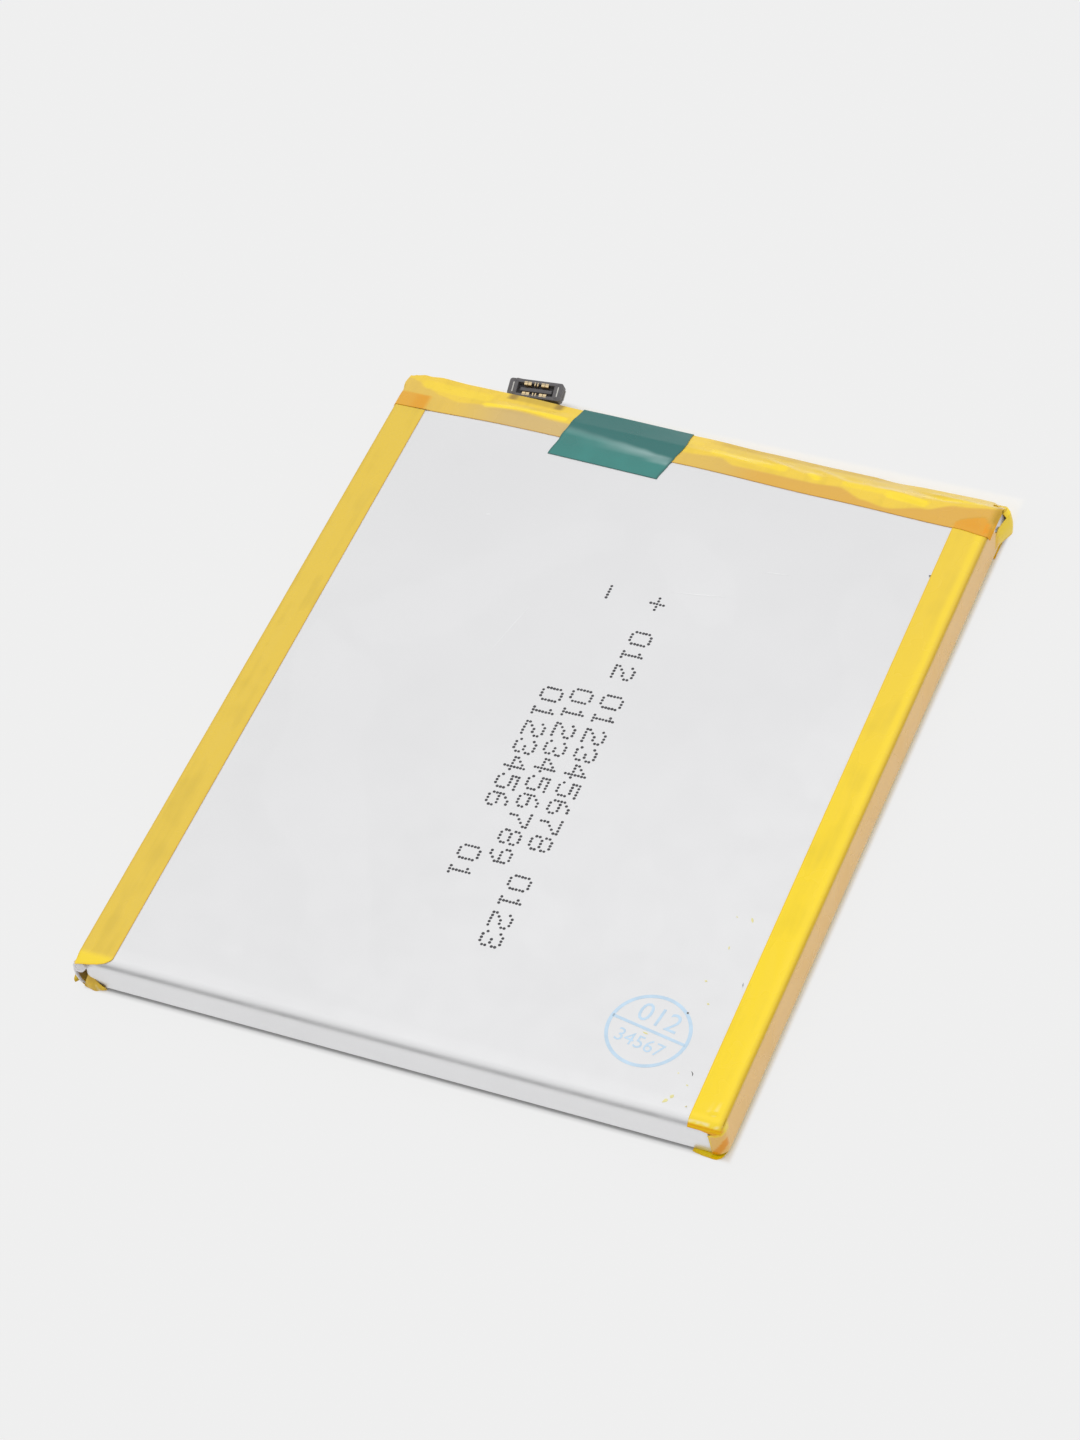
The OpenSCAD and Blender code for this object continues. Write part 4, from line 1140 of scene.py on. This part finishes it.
class CELL_OT_green_tape(bpy.types.Operator):
    """Lays the green tape from the face over the end tape and down the back"""

    bl_idname = "cell.green_tape"
    bl_label = "Green tape"

    def execute(self, context):
        s = sizes(context)
        low = s.bond + s.tape / 2
        high = low + s.tape + s.bond

        def place(column, row):
            share = column / GREEN_COLUMNS
            x = between(-14.2, -2.1, share)
            front = along(END_FRONT, x)
            if row < STEP_ROWS:
                start = between(31.95, 31.6, share) + (0.1 if row == 1 else 0)
                y = between(start, front + STEP_LAP, max(row - 1, 0) / STEP_ROWS)
                z = CUP_HIGH.z + between(low, high, smooth(front - 0.25, front - 0.05, y))
            else:
                y, z = end_section(s, x, high, front + STEP_LAP, 30)[row - STEP_ROWS]
                z = loosen(x, y, z, front)
            return between(along(GREEN_LEFT, y), along(GREEN_RIGHT, y), share), y, z

        over = sum(END_STEPS[:3]) + 3 * TURN_STEPS + 1
        tape = lay_sheet("green_film", GREEN_COLUMNS, STEP_ROWS + over, place,
                         ("first_row", "last_row", "first_column", "last_column"))
        make_tape(s, tape)
        # Painted highlight along the ridge where the tape bridges the step onto the end tape.
        marks(tape, over_tape=lambda x, y, z: smooth(-0.2, 0.5, y - along(GREEN_STREAK, x)),
              lifted=lambda x, y, z: smooth(0.75, 0.1, abs(y - along(GREEN_STREAK, x)))
              * (0.25 + 0.65 * smooth(-11, -3, x)) * smooth(-1.2, -2.0, x))
        dress(tape, "green_tape", "green_tape", "green_tape")
        return {"FINISHED"}


# Tail: room before and behind the housing, radius of the circuit's bend, corner of the stiffener
TAIL_ROOM, TAIL_BEND, PLATE_CORNER = 0.2, 1.2, 0.35


class CELL_OT_flex_tail(bpy.types.Operator):
    """Runs the flex circuit out of the end tape and lays the stiffener under its end"""

    bl_idname = "cell.flex_tail"
    bl_label = "Flex tail"

    def execute(self, context):
        s = sizes(context)
        width = FLEX_HIGH.x - FLEX_LOW.x
        tail_end = s.conn_start + s.conn_d + TAIL_ROOM
        tip = HINGE + tail_end * Vector((0, math.cos(TAIL_LEAN), math.sin(TAIL_LEAN)))
        bends = rounded_path([(FLEX_LOW.y, HINGE.z), (HINGE.y, HINGE.z), (tip.y, tip.z)], (TAIL_BEND,),
                             (6, 8), 12)
        flex = extrude_strip("flex_film", [(HINGE.x, y, z) for y, z in bends], (width, 0, 0))
        thicken(flex, s.flex)
        shade(flex, FILM_SMOOTH)
        flex.data.materials.append(FINISHES["flex"])
        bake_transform(flex)
        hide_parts("flex_circuit")
        top = -s.flex / 2 - s.bond
        plate = block("stiffener_plate", (-width / 2, s.conn_start - TAIL_ROOM, top - s.stiffener),
                      (width / 2, tail_end, top))
        round_edges(plate, PLATE_CORNER, 5,
                    lambda middle, heading: upright(middle, heading) and middle.y > 1)
        soften(plate, 0.025)
        mount(s, plate, BLOCK_SMOOTH, "stiffener", "stiffener_laminate", "flex_stiffener")
        return {"FINISHED"}


# Housing's shell is this much short of the whole block, and its tongue this deep and low
SHELL_TRIM, TONGUE_DEEP, TONGUE_LOW = 0.012, 0.42, 0.3
# Distances of the contacts from the middle of their rows
POWER_PLACES, SIGNAL_PLACES = (-1.15, -0.73, 1.15, 0.73), (-0.15, 0.15)


class CELL_OT_connector(bpy.types.Operator):
    """Moulds the connector housing and bends its contacts and hold-down clips"""

    bl_idname = "cell.connector"
    bl_label = "Connector"

    def execute(self, context):
        s = sizes(context)
        low = s.flex / 2 + s.bond
        top = low + s.conn_h
        half, end = s.conn_w / 2, s.conn_start + s.conn_d
        shell = block("shell", (-half, s.conn_start + SHELL_TRIM, low),
                      (half, end - SHELL_TRIM, top - SHELL_TRIM))
        round_edges(shell, 0.3, 6)
        choose(shell, "FACE", lambda middle, normal: normal.z > 0.9)
        bpy.ops.mesh.inset(thickness=s.conn_wall * MM, use_even_offset=True)
        narrow = (half - s.conn_end) / (half - s.conn_wall)
        bpy.ops.transform.resize(value=(narrow, 1, 1),
                                 center_override=(0, (s.conn_start + end) / 2 * MM, top * MM))
        bpy.ops.mesh.extrude_region_move(TRANSFORM_OT_translate={
            "value": (0, 0, -(s.conn_h - s.conn_floor) * MM)})
        soften(shell, 0.06, 3)
        inset = (s.conn_d - TONGUE_DEEP) / 2
        reach = half - s.conn_end - 0.25
        tongue = block("tongue", (-reach, s.conn_start + inset, low + 0.05),
                       (reach, end - inset, top - TONGUE_LOW))
        soften(tongue, 0.06, 3)
        housing = join("connector_shell", [shell, tongue])
        mount(s, housing, BLOCK_SMOOTH, "housing", "housing_plastic", "connector_housing")
        for name, places, width, node in (("power_strips", POWER_PLACES, s.power_w, "power_contacts"),
                                          ("signal_strips", SIGNAL_PLACES, s.signal_w, "signal_contacts")):
            strips = [self.contact(s, x, width, mirrored) for x in places for mirrored in (False, True)]
            mount(s, join(name, strips), TAPE_SMOOTH, "gold", "contact_gold", node)
        clips = join("clip_plates", [self.hold_down(s, side) for side in (-1, 1)])
        mount(s, clips, TAPE_SMOOTH, "tin", "clip_tin", "hold_down_clips")
        return {"FINISHED"}

    def contact(self, s, x, width, mirrored):
        """One contact, from its foot through a long wall of the housing to the cavity."""
        low = s.flex / 2 + s.bond
        top = low + s.conn_h
        end = s.conn_start + s.conn_d
        inside = end - s.conn_wall
        t = s.contact / 2
        corners = [(end + 0.15, low + t), (inside + 0.15, low + t), (inside + 0.15, top - t),
                   (inside - 0.24, top - t - 0.04), (inside - 0.26, low + s.conn_floor + s.contact)]
        path = rounded_path(corners, (0.05, 0.07, 0.07), (1, 2, 2, 2), 4)
        run = [(x, s.conn_start + end - y if mirrored else y, z) for y, z in path]
        strip = extrude_strip("contact", run, (width, 0, 0))
        thicken(strip, s.contact)
        return strip

    def hold_down(self, s, side):
        """One hold-down clip, standing in an end of the housing with its foot outside."""
        low = s.flex / 2 + s.bond
        top = low + s.conn_h + 0.02
        stand = s.conn_w / 2 - 0.5
        corners = [(s.conn_w / 2 + 0.1, low + s.clip / 2), (stand, low + s.clip / 2), (stand, top)]
        path = rounded_path(corners, (0.08,), (3, 2), 4)
        run = [(side * x, s.conn_start + s.conn_d / 2, z) for x, z in path]
        plate = extrude_strip("clip", run, (0, 0.55 * s.conn_d, 0))
        thicken(plate, s.clip)
        return plate


DIGITS = {
    "0": "01110 10001 10001 10001 10001 10001 01110",
    "1": "00100 01100 00100 00100 00100 00100 01110",
    "2": "01110 10001 00001 00110 01000 10000 11111",
    "3": "01110 10001 00001 00110 00001 10001 01110",
    "4": "00010 00110 01010 10010 11111 00010 00010",
    "5": "11111 10000 11110 00001 00001 10001 01110",
    "6": "00110 01000 10000 11110 10001 10001 01110",
    "7": "11111 00001 00010 00100 01000 01000 01000",
    "8": "01110 10001 10001 01110 10001 10001 01110",
    "9": "01110 10001 10001 01111 00001 00010 01100",
    "+": "00000 00100 00100 11111 00100 00100 00000",
    "-": "00000 00000 00000 11111 00000 00000 00000",
}
# Printed rows: text, middle across the cell and start along it; the rows read towards the front
PRINT_ROWS = (("+", 4.1, 16.7), ("-", -1.1, 16.9), ("012", 4.2, 12.0), ("012345678", 4.5, 3.7),
              ("0123", 4.4, -19.2), ("0123456789", 1.4, 3.6), ("0123456", -1.5, 3.0), ("01", -1.6, -17.2))
DOT_ALONG, DOT_UP, DOT_ADVANCE, INK_THICK = 0.38, 0.33, 2.25, 0.006


class CELL_OT_print(bpy.types.Operator):
    """Prints the polarity signs and counting digits in dots on the face"""

    bl_idname = "cell.print"
    bl_label = "Dot print"

    def execute(self, context):
        s = sizes(context)
        deselect()
        bpy.ops.mesh.primitive_cylinder_add(vertices=10, radius=s.dot / 2 * MM, depth=INK_THICK * MM)
        first = named("printed_dots")
        round_edges(first, INK_THICK / 2, 1,
                    lambda middle, heading: middle.z > 0.002 and abs(heading.z) < 0.1)
        bpy.ops.object.mode_set(mode="OBJECT")
        dots = []
        for text, middle, start in PRINT_ROWS:
            for number, sign in enumerate(text):
                for up, line in enumerate(DIGITS[sign].split()):
                    dots += [(middle + (3 - up) * DOT_UP, start - number * DOT_ADVANCE - step * DOT_ALONG)
                             for step, ink in enumerate(line) if ink == "1"]
        bodies = []
        for x, y in dots:
            dot = first.copy()
            dot.data = first.data.copy()
            context.collection.objects.link(dot)
            x += 0.03 * noise.noise((x * 3.1, y * 2.7, 0.5))
            y += 0.03 * noise.noise((x * 2.9, y * 3.3, 4.5))
            size = 1 + 0.12 * noise.noise((x * 2.3, y * 1.9, 8.5))
            place = Vector((x, y, face_height(x, y) + INK_THICK)) * MM
            dot.data.transform(Matrix.Translation(place) @ Matrix.Scale(size, 4))
            bodies.append(dot)
        bpy.data.objects.remove(first)
        print_piece = join("printed_dots", bodies)
        shade(print_piece, 30)
        dress(print_piece, "ink", "chip_plastic")
        return {"FINISHED"}


STAMP_PLACE, STAMP_TURN = (22.1, -32.0, 0), math.radians(-9.5)
RING_LINE, BAR_LINE, BAR_STEPS = 0.34, 0.3, 24
# Counting digits in the stamp: text, place in the ring and size
STAMP_DIGITS = (("012", 0.2, 0.75, 2.9), ("34567", -0.1, -2.1, 2.0))


class CELL_OT_stamp(bpy.types.Operator):
    """Stamps a ring with a bar and counting digits on the face"""

    bl_idname = "cell.stamp"
    bl_label = "Inspection stamp"

    def execute(self, context):
        s = sizes(context)
        deselect()
        bpy.ops.mesh.primitive_circle_add(vertices=72, radius=s.stamp_r * MM)
        ring = named("stamp_ring")
        bpy.ops.object.mode_set(mode="EDIT")
        bpy.ops.mesh.select_all(action="SELECT")
        bpy.ops.mesh.extrude_edges_move()
        inner = 1 - RING_LINE / s.stamp_r
        bpy.ops.transform.resize(value=(inner, inner, 1), center_override=(0, 0, 0))
        reach = s.stamp_r - RING_LINE * 0.6
        bar = lay_sheet("bar", BAR_STEPS, 1, lambda column, row: (
            between(-reach, reach, column / BAR_STEPS), 0.1 + (row - 0.5) * BAR_LINE, 0))
        stamp = join("stamp_print", [ring, bar, *(self.digits(*line) for line in STAMP_DIGITS)])
        stamp.data.attributes.remove(stamp.data.attributes["cut_edge"])
        weld(stamp, 0.0005)
        thicken(stamp, INK_THICK)
        turn = Matrix.Rotation(STAMP_TURN, 4, "Z")
        stamp.data.transform(Matrix.Translation(Vector(STAMP_PLACE) * MM) @ turn)
        for vertex in stamp.data.vertices:
            x, y, z = vertex.co / MM
            vertex.co.z = (face_height(x, y) + 0.007 + z) * MM
        dress(stamp, "stamp", "pouch_film")
        return {"FINISHED"}

    def digits(self, text, x, y, size):
        """Plain digits as a flat mesh, centred at a place in the stamp."""
        deselect()
        bpy.ops.object.text_add()
        words = bpy.context.object
        words.data.body = text
        words.data.size = size * MM
        words.data.align_x = "CENTER"
        words.data.resolution_u = 3
        bpy.ops.object.convert(target="MESH")
        flat = named("stamp_digits")
        flat.data.transform(Matrix.Translation(Vector((x, y, 0)) * MM))
        return flat


# Traces on the face, each a path in millimetres and its width
GLUE = ((((26.1, -38.85), (26.35, -38.55), (26.5, -38.45)), 0.32), (((26.62, -38.2), (26.8, -37.8)), 0.3),
        (((26.27, -35.5), (26.42, -35.46)), 0.14), (((27.45, -36.45), (27.7, -36.52)), 0.16),
        (((28.2, -38.66), (28.4, -38.6)), 0.12), (((24.95, -25.25), (25.2, -25.3)), 0.2),
        (((26.05, -27.6), (26.3, -27.65)), 0.2), (((21.65, -32.25), (22.2, -32.35)), 0.18),
        (((26.55, -17.35), (26.8, -17.85)), 0.25), (((25.7, -21.0), (25.78, -21.35)), 0.16),
        (((25.1, -17.6), (25.3, -17.7)), 0.1))
FIBRES = ((((27.4, -34.95), (27.6, -35.15), (27.66, -35.42)), 0.09),
          (((28.4, -24.5), (28.48, -24.95)), 0.06), (((28.38, 26.75), (28.55, 26.87)), 0.2),
          (((24.72, -29.0), (24.86, -29.2)), 0.22))
SCUFFS = ((((4.9, 17.86), (7.5, 18.2), (10.45, 18.78)), 0.1), (((-17.0, 22.4), (-16.6, 22.55)), 0.12),
          (((12.5, 22.8), (15.2, 23.1)), 0.08), (((-9.5, 5.5), (-8.6, 9.5), (-7.9, 12.5)), 0.06))
# Height of a trace over the face and, past this place across the cell, over the right edge tape
FACE_LIFT, TAPE_LIFT, TAPE_FROM = 0.008, 0.08, 28.3


class CELL_OT_residues(bpy.types.Operator):
    """Leaves small traces of glue, fibres and scuffs on the face"""

    bl_idname = "cell.residues"
    bl_label = "Residues"

    def execute(self, context):
        for name, traces, finish, slot in (("glue_flecks", GLUE, "glue", "amber_tape"),
                                           ("loose_fibres", FIBRES, "fibre", "chip_plastic"),
                                           ("face_scuffs", SCUFFS, "scuff", "pouch_film")):
            piece = join(name, [self.trace(points, width) for points, width in traces])
            shade(piece, TAPE_SMOOTH)
            dress(piece, finish, slot)
        return {"FINISHED"}

    def trace(self, points, width):
        """A thin trace along a path, narrow at both ends, that lies on the face or on a tape."""
        path = rounded_path(points, (0.3,) * (len(points) - 2), (4,) * (len(points) - 1), 3)
        last = len(path) - 1

        def place(column, row):
            before, after = path[max(column - 1, 0)], path[min(column + 1, last)]
            across = Vector((before.y - after.y, after.x - before.x)).normalized()
            half = width / 2 * (0.2 + 0.8 * math.sin(math.pi * column / last))
            half *= 1 + 0.4 * noise.noise((*path[column], row))
            x, y = path[column] + across * half * (row - 1)
            return x, y, face_height(x, y) + (TAPE_LIFT if x > TAPE_FROM else FACE_LIFT)

        sheet = lay_sheet("trace", last, 2, place)
        thicken(sheet, 0.012)
        return sheet


# Plain finishes: name, colour or its property, size and depth of the blotches, size and height of the
# grain, roughness and metal
PLAIN_FINISHES = {
    "flex": ("Cover film on polyimide", "#5B4A34", 1.2, 0.12, 0.2, 0.01, 0.4, 0.0),
    "stiffener": ("Glass-epoxy plate", "#6A5A3A", 0.8, 0.15, 0.15, 0.01, 0.5, 0.0),
    "housing": ("Liquid-crystal polymer", "housing", 0.5, 0.15, 0.08, 0.01, 0.45, 0.0),
    "gold": ("Gold-plated copper alloy", "gold", 0.4, 0.08, 0.06, 0.004, 0.28, 1.0),
    "tin": ("Tin-plated copper alloy", "tin", 0.5, 0.08, 0.08, 0.006, 0.36, 1.0),
    "ink": ("Dot-printer ink", "ink", 0.6, 0.25, 0.1, 0.004, 0.6, 0.0),
    "stamp": ("Stamp ink", "stamp", 1.2, 0.06, 0.15, 0.002, 0.6, 0.0),
    "film_edge": ("Cut edge of sealed film", "#E4E2E6", 0.5, 0.04, 0.1, 0.01, 0.45, 0.0),
    "glue": ("Dried adhesive", "#E4DC9A", 0.3, 0.08, 0.1, 0.004, 0.4, 0.0),
    "fibre": ("Dark fibre", "#6A6A6A", 0.3, 0.1, 0.1, 0.004, 0.7, 0.0),
    "scuff": ("Scuffed nylon", "#F4F4F5", 0.4, 0.02, 0.1, 0.004, 0.5, 0.0),
    "anode_coating": ("Graphite coating", "#3A3A3C", 1.8, 0.05, 0.24, 0.01, 0.9, 0.0),
    "cathode_coating": ("Oxide coating", "#4A4A4E", 1.8, 0.05, 0.24, 0.01, 0.85, 0.0),
    "separator_film": ("Porous separator film", "#EEEEEA", 4.5, 0.03, 0.6, 0.01, 0.7, 0.0),
    "tab_aluminium": ("Bare aluminium strip", "#D6D8DA", 6.0, 0.04, 0.8, 0.01, 0.35, 1.0),
    "tab_nickel": ("Bare nickel strip", "#C2BDB2", 6.0, 0.05, 0.8, 0.01, 0.35, 1.0),
    "sealant_film": ("Milky polypropylene", "#E9E6D8", 4.5, 0.04, 0.6, 0.01, 0.5, 0.0),
    "board_laminate": ("Solder mask on laminate", "#1F5B36", 3.0, 0.1, 0.4, 0.01, 0.45, 0.0),
    "chip_plastic": ("Moulding compound", "#2B2B2D", 1.2, 0.1, 0.16, 0.01, 0.6, 0.0),
    "chip_ceramic": ("Chip ceramic", "#B98D62", 1.2, 0.08, 0.16, 0.01, 0.5, 0.0),
    "pad_foam": ("White insulating pad", "#E8E8E4", 1.5, 0.04, 0.2, 0.01, 0.8, 0.0),
}
# Amber tapes: the colour's property, the name, and the colour on a wall or over the board, which paints shade
AMBER_FINISHES = (("left_tape", "Polyimide tape, left edge", "#EDB96C"),
                  ("right_tape", "Polyimide tape, right edge", "#EDB96C"),
                  ("end_tape", "Polyimide tape, end", "#C4AC8A"))


class CELL_OT_finishes(bpy.types.Operator):
    """Mixes the materials and gives the inner parts theirs"""

    bl_idname = "cell.finishes"
    bl_label = "Finishes"

    def execute(self, context):
        group = context.scene.cell_colours
        colours = {key: tuple(getattr(group, key)) for key in CellColours.__annotations__}
        FINISHES["pouch_film"] = pouch_laminate(colours["film"])
        FINISHES["green_tape"] = polyester_tape(colours["green_tape"])
        for key, name, side in AMBER_FINISHES:
            FINISHES[key] = polyimide_tape(name, colours[key], colours["double_tape"], linear(side))
        FINISHES["amber_tape"] = FINISHES["end_tape"]
        for key, (name, code, *numbers) in PLAIN_FINISHES.items():
            FINISHES[key] = mottled(name, colours[code] if code in colours else linear(code), *numbers)
        for part in frame["record"]["subparts"]:
            if part["material_slot"] in FINISHES:
                materials = frame["nodes"][part["node"]].data.materials
                materials.clear()
                materials.append(FINISHES[part["material_slot"]])
        return {"FINISHED"}


class CELL_OT_pad(bpy.types.Operator):
    """Cuts the soft insulating pad that lies on the back seal under the board"""

    bl_idname = "cell.pad"
    bl_label = "Insulating pad"

    def execute(self, context):
        low, high = (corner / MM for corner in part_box("terrace_pad"))
        pad = block("insulating_pad", low, high)
        round_edges(pad, 0.3, 4)
        soften(pad, 0.06, 3)
        shade(pad)
        dress(pad, "pad_foam", "pad_foam", "terrace_pad")
        return {"FINISHED"}


# Camera of the photograph: place in mm, then turn, height and roll in degrees, and lens
CAMERA_PLACE = (130.231, -220.782, 301.131)
CAMERA_TURN, CAMERA_RISE, CAMERA_ROLL = 30.915, 49.224, -11.018
CAMERA_LENS, CAMERA_SENSOR = 102.24, 36
SUN_AIM, SUN_STRENGTH, SUN_SPREAD = (-0.45, 0.45, 0.77), 0.8, 70
# Patches of the room's light: where each lies, the range over which it comes in, and its brightness
ROOM_LEVEL = 0.5
ROOM_PATCHES = (((0, 0, 1), 0.1, 1.0, 1.0), ((-0.24, 0.40, 0.883), 0.94, 0.995, 1.12),
                ((-0.34, -0.93, 0.15), 0.86, 0.98, 0.2))
# Floor: size in metres, drop below the cell, and where its plain colour starts and is full
FLOOR_SIZE, FLOOR_DROP = 4, 0.02
PLAIN_START, PLAIN_FULL, PLAIN_MOST = 0.2, 0.8, 0.96
# Painted contact shadow, a dark line on the floor: distance before the cell's front fold, half width, outer fade,
# shade and the distance from the corners at which it ends
CONTACT_LINE, CONTACT_HALF, CONTACT_FADE, CONTACT_SHADE, CONTACT_END = 0.05, 0.1, 0.32, 0.55, 1.5


class CELL_OT_stage(bpy.types.Operator):
    """Sets the floor, the soft light and the camera"""

    bl_idname = "cell.stage"
    bl_label = "Stage"

    def execute(self, context):
        scene = context.scene
        deselect()
        bpy.ops.mesh.primitive_plane_add(size=FLOOR_SIZE)
        floor = named("floor")
        floor.data.transform(Matrix.Translation((0, 0, cad_box[0].z - FLOOR_DROP * MM)))
        floor.data.materials.append(self.table(tuple(scene.cell_colours.floor)))
        deselect()
        bpy.ops.object.light_add(type="SUN")
        sun = bpy.context.object
        sun.name = "window_light"
        sun.data.energy = SUN_STRENGTH
        sun.data.angle = math.radians(SUN_SPREAD)
        sun.rotation_euler = Vector(SUN_AIM).to_track_quat("Z", "Y").to_euler()
        sun.visible_glossy = False
        self.sky(scene)
        deselect()
        bpy.ops.object.camera_add()
        camera = bpy.context.object
        turn, rise, roll = (math.radians(a) for a in (CAMERA_TURN, CAMERA_RISE, CAMERA_ROLL))
        back = Vector((math.sin(turn) * math.cos(rise), -math.cos(turn) * math.cos(rise), math.sin(rise)))
        right = Vector((math.cos(turn), math.sin(turn), 0))
        axes = Matrix((right, back.cross(right), back)).transposed() @ Matrix.Rotation(roll, 3, "Z")
        camera.matrix_world = Matrix.Translation(Vector(CAMERA_PLACE) * MM) @ axes.to_4x4()
        camera.data.lens = CAMERA_LENS
        camera.data.sensor_width = CAMERA_SENSOR
        camera.data.sensor_fit = "AUTO"
        camera.data.clip_start = 0.01
        scene.camera = camera
        scene.view_settings.view_transform = "Standard"
        return {"FINISHED"}

    def table(self, pale):
        """A matt pale table. Away from the cell most of what the eye sees is its plain colour, so the
        wide shadow stays faint; close to the cell the real shadow shows, darkest at the front foot, where a
        painted contact shadow darkens a thin line."""
        material, tree, place, fields = new_material("Matt table", (), Roughness=0.9, Base_Color=pale,
                                                     Specular_IOR_Level=0.0)
        principled = tree.nodes["Principled BSDF"]
        path = tree.nodes.new("ShaderNodeLightPath").outputs
        shine = add_node(tree, "Math", {0: path["Is Glossy Ray"], 1: 0.08, 2: 1.0},
                         operation="MULTIPLY_ADD")
        plain = add_node(tree, "Emission", {"Color": linear("#EFEFEF"), "Strength": shine.outputs["Value"]})
        middle = (cad_box[0] + cad_box[1]) / 2
        half = Vector(((EDGE_HIGH.x - 0.6) * MM, middle.y - CUP_LOW.y * MM, 0))
        offset = add_node(tree, "VectorMath", {0: place, 1: middle}, operation="SUBTRACT")
        spread = add_node(tree, "VectorMath", {0: offset.outputs["Vector"]}, operation="ABSOLUTE")
        beyond = add_node(tree, "VectorMath", {0: spread.outputs["Vector"], 1: half}, operation="SUBTRACT")
        sides = add_node(tree, "SeparateXYZ", {"Vector": beyond.outputs["Vector"]})
        away = add_node(tree, "Math", {0: sides.outputs["X"], 1: sides.outputs["Y"]}, operation="MAXIMUM")
        level = add_node(tree, "MapRange", {"Value": away.outputs["Value"], "From Min": PLAIN_START * MM,
                                            "From Max": PLAIN_FULL * MM, "To Max": PLAIN_MOST},
                         interpolation_type="SMOOTHSTEP")
        # Painted contact shadow: the floor's colour darkened along a thin line before the front foot.
        lengthwise = add_node(tree, "SeparateXYZ", {"Vector": offset.outputs["Vector"]})
        before = add_node(tree, "Math", {0: lengthwise.outputs["Y"], 1: half.y + CONTACT_LINE * MM})
        from_fold = add_node(tree, "Math", {0: before.outputs["Value"]}, operation="ABSOLUTE")
        corner = add_node(tree, "Math", {0: sides.outputs["X"], 1: CONTACT_END * MM})
        nearest = add_node(tree, "Math", {0: from_fold.outputs["Value"], 1: corner.outputs["Value"]},
                           operation="MAXIMUM")
        contact = add_node(tree, "MapRange", {"Value": nearest.outputs["Value"],
                                              "From Min": CONTACT_HALF * MM, "From Max": CONTACT_FADE * MM,
                                              "To Min": CONTACT_SHADE})
        painted_contact_shadow = add_node(tree, "VectorMath", {0: pale[:3], "Scale": contact.outputs["Result"]},
                          operation="SCALE")
        tree.links.new(painted_contact_shadow.outputs["Vector"], principled.inputs["Base Color"])
        direct = add_node(tree, "Math", {0: path["Is Camera Ray"], 1: level.outputs["Result"]},
                          operation="MULTIPLY")
        share = add_node(tree, "Math", {0: direct.outputs["Value"], 1: path["Is Glossy Ray"]},
                         use_clamp=True)
        mix = add_node(tree, "MixShader", {0: share.outputs["Value"], 1: principled.outputs["BSDF"],
                                           2: plain.outputs["Emission"]})
        tree.links.new(mix.outputs["Shader"], tree.nodes["Material Output"].inputs["Surface"])
        return material

    def sky(self, scene):
        """A pale room, brightest above and behind, and darker low down towards the viewer."""
        scene.world = scene.world or bpy.data.worlds.new("Room")
        scene.world.use_nodes = True
        tree = scene.world.node_tree
        heading = tree.nodes.new("ShaderNodeTexCoord").outputs["Generated"]
        shown = (ROOM_LEVEL, ROOM_LEVEL, ROOM_LEVEL, 1)
        for aim, start, end, level in ROOM_PATCHES:
            facing = add_node(tree, "VectorMath", {0: heading, 1: aim}, operation="DOT_PRODUCT")
            share = add_node(tree, "MapRange", {"Value": facing.outputs["Value"], "From Min": start,
                                                "From Max": end}, interpolation_type="SMOOTHSTEP")
            mix = add_node(tree, "Mix", {0: share.outputs["Result"], 6: shown,
                                         7: (level, level, level, 1)}, data_type="RGBA")
            shown = mix.outputs[2]
        tree.links.new(shown, tree.nodes["Background"].inputs["Color"])


class CELL_PT_sidebar(bpy.types.Panel):
    """Lists the steps of the cell's making, its sizes and its colours"""

    bl_label = "Pouch battery cell"
    bl_idname = "CELL_PT_sidebar"
    bl_space_type = "VIEW_3D"
    bl_region_type = "UI"
    bl_category = "Cell"

    def draw(self, context):
        for step in STEPS:
            self.layout.operator(step.bl_idname)
        for group in (context.scene.cell_sizes, context.scene.cell_colours):
            for key in type(group).__annotations__:
                self.layout.prop(group, key)


STEPS = (CELL_OT_finishes, CELL_OT_pouch, CELL_OT_cover, CELL_OT_seal_ends, CELL_OT_right_tape,
         CELL_OT_left_tape, CELL_OT_end_tape, CELL_OT_green_tape, CELL_OT_flex_tail, CELL_OT_connector,
         CELL_OT_pad, CELL_OT_print, CELL_OT_stamp, CELL_OT_residues, CELL_OT_stage)
CLASSES = (CellSizes, CellColours, *STEPS, CELL_PT_sidebar)


def register():
    for kind in CLASSES:
        bpy.utils.register_class(kind)
    bpy.types.Scene.cell_sizes = PointerProperty(type=CellSizes)
    bpy.types.Scene.cell_colours = PointerProperty(type=CellColours)


def unregister():
    del bpy.types.Scene.cell_colours
    del bpy.types.Scene.cell_sizes
    for kind in reversed(CLASSES):
        bpy.utils.unregister_class(kind)


def main():
    register()
    for step in STEPS:
        group, name = step.bl_idname.split(".")
        getattr(getattr(bpy.ops, group), name)()


if __name__ == "__main__":
    main()
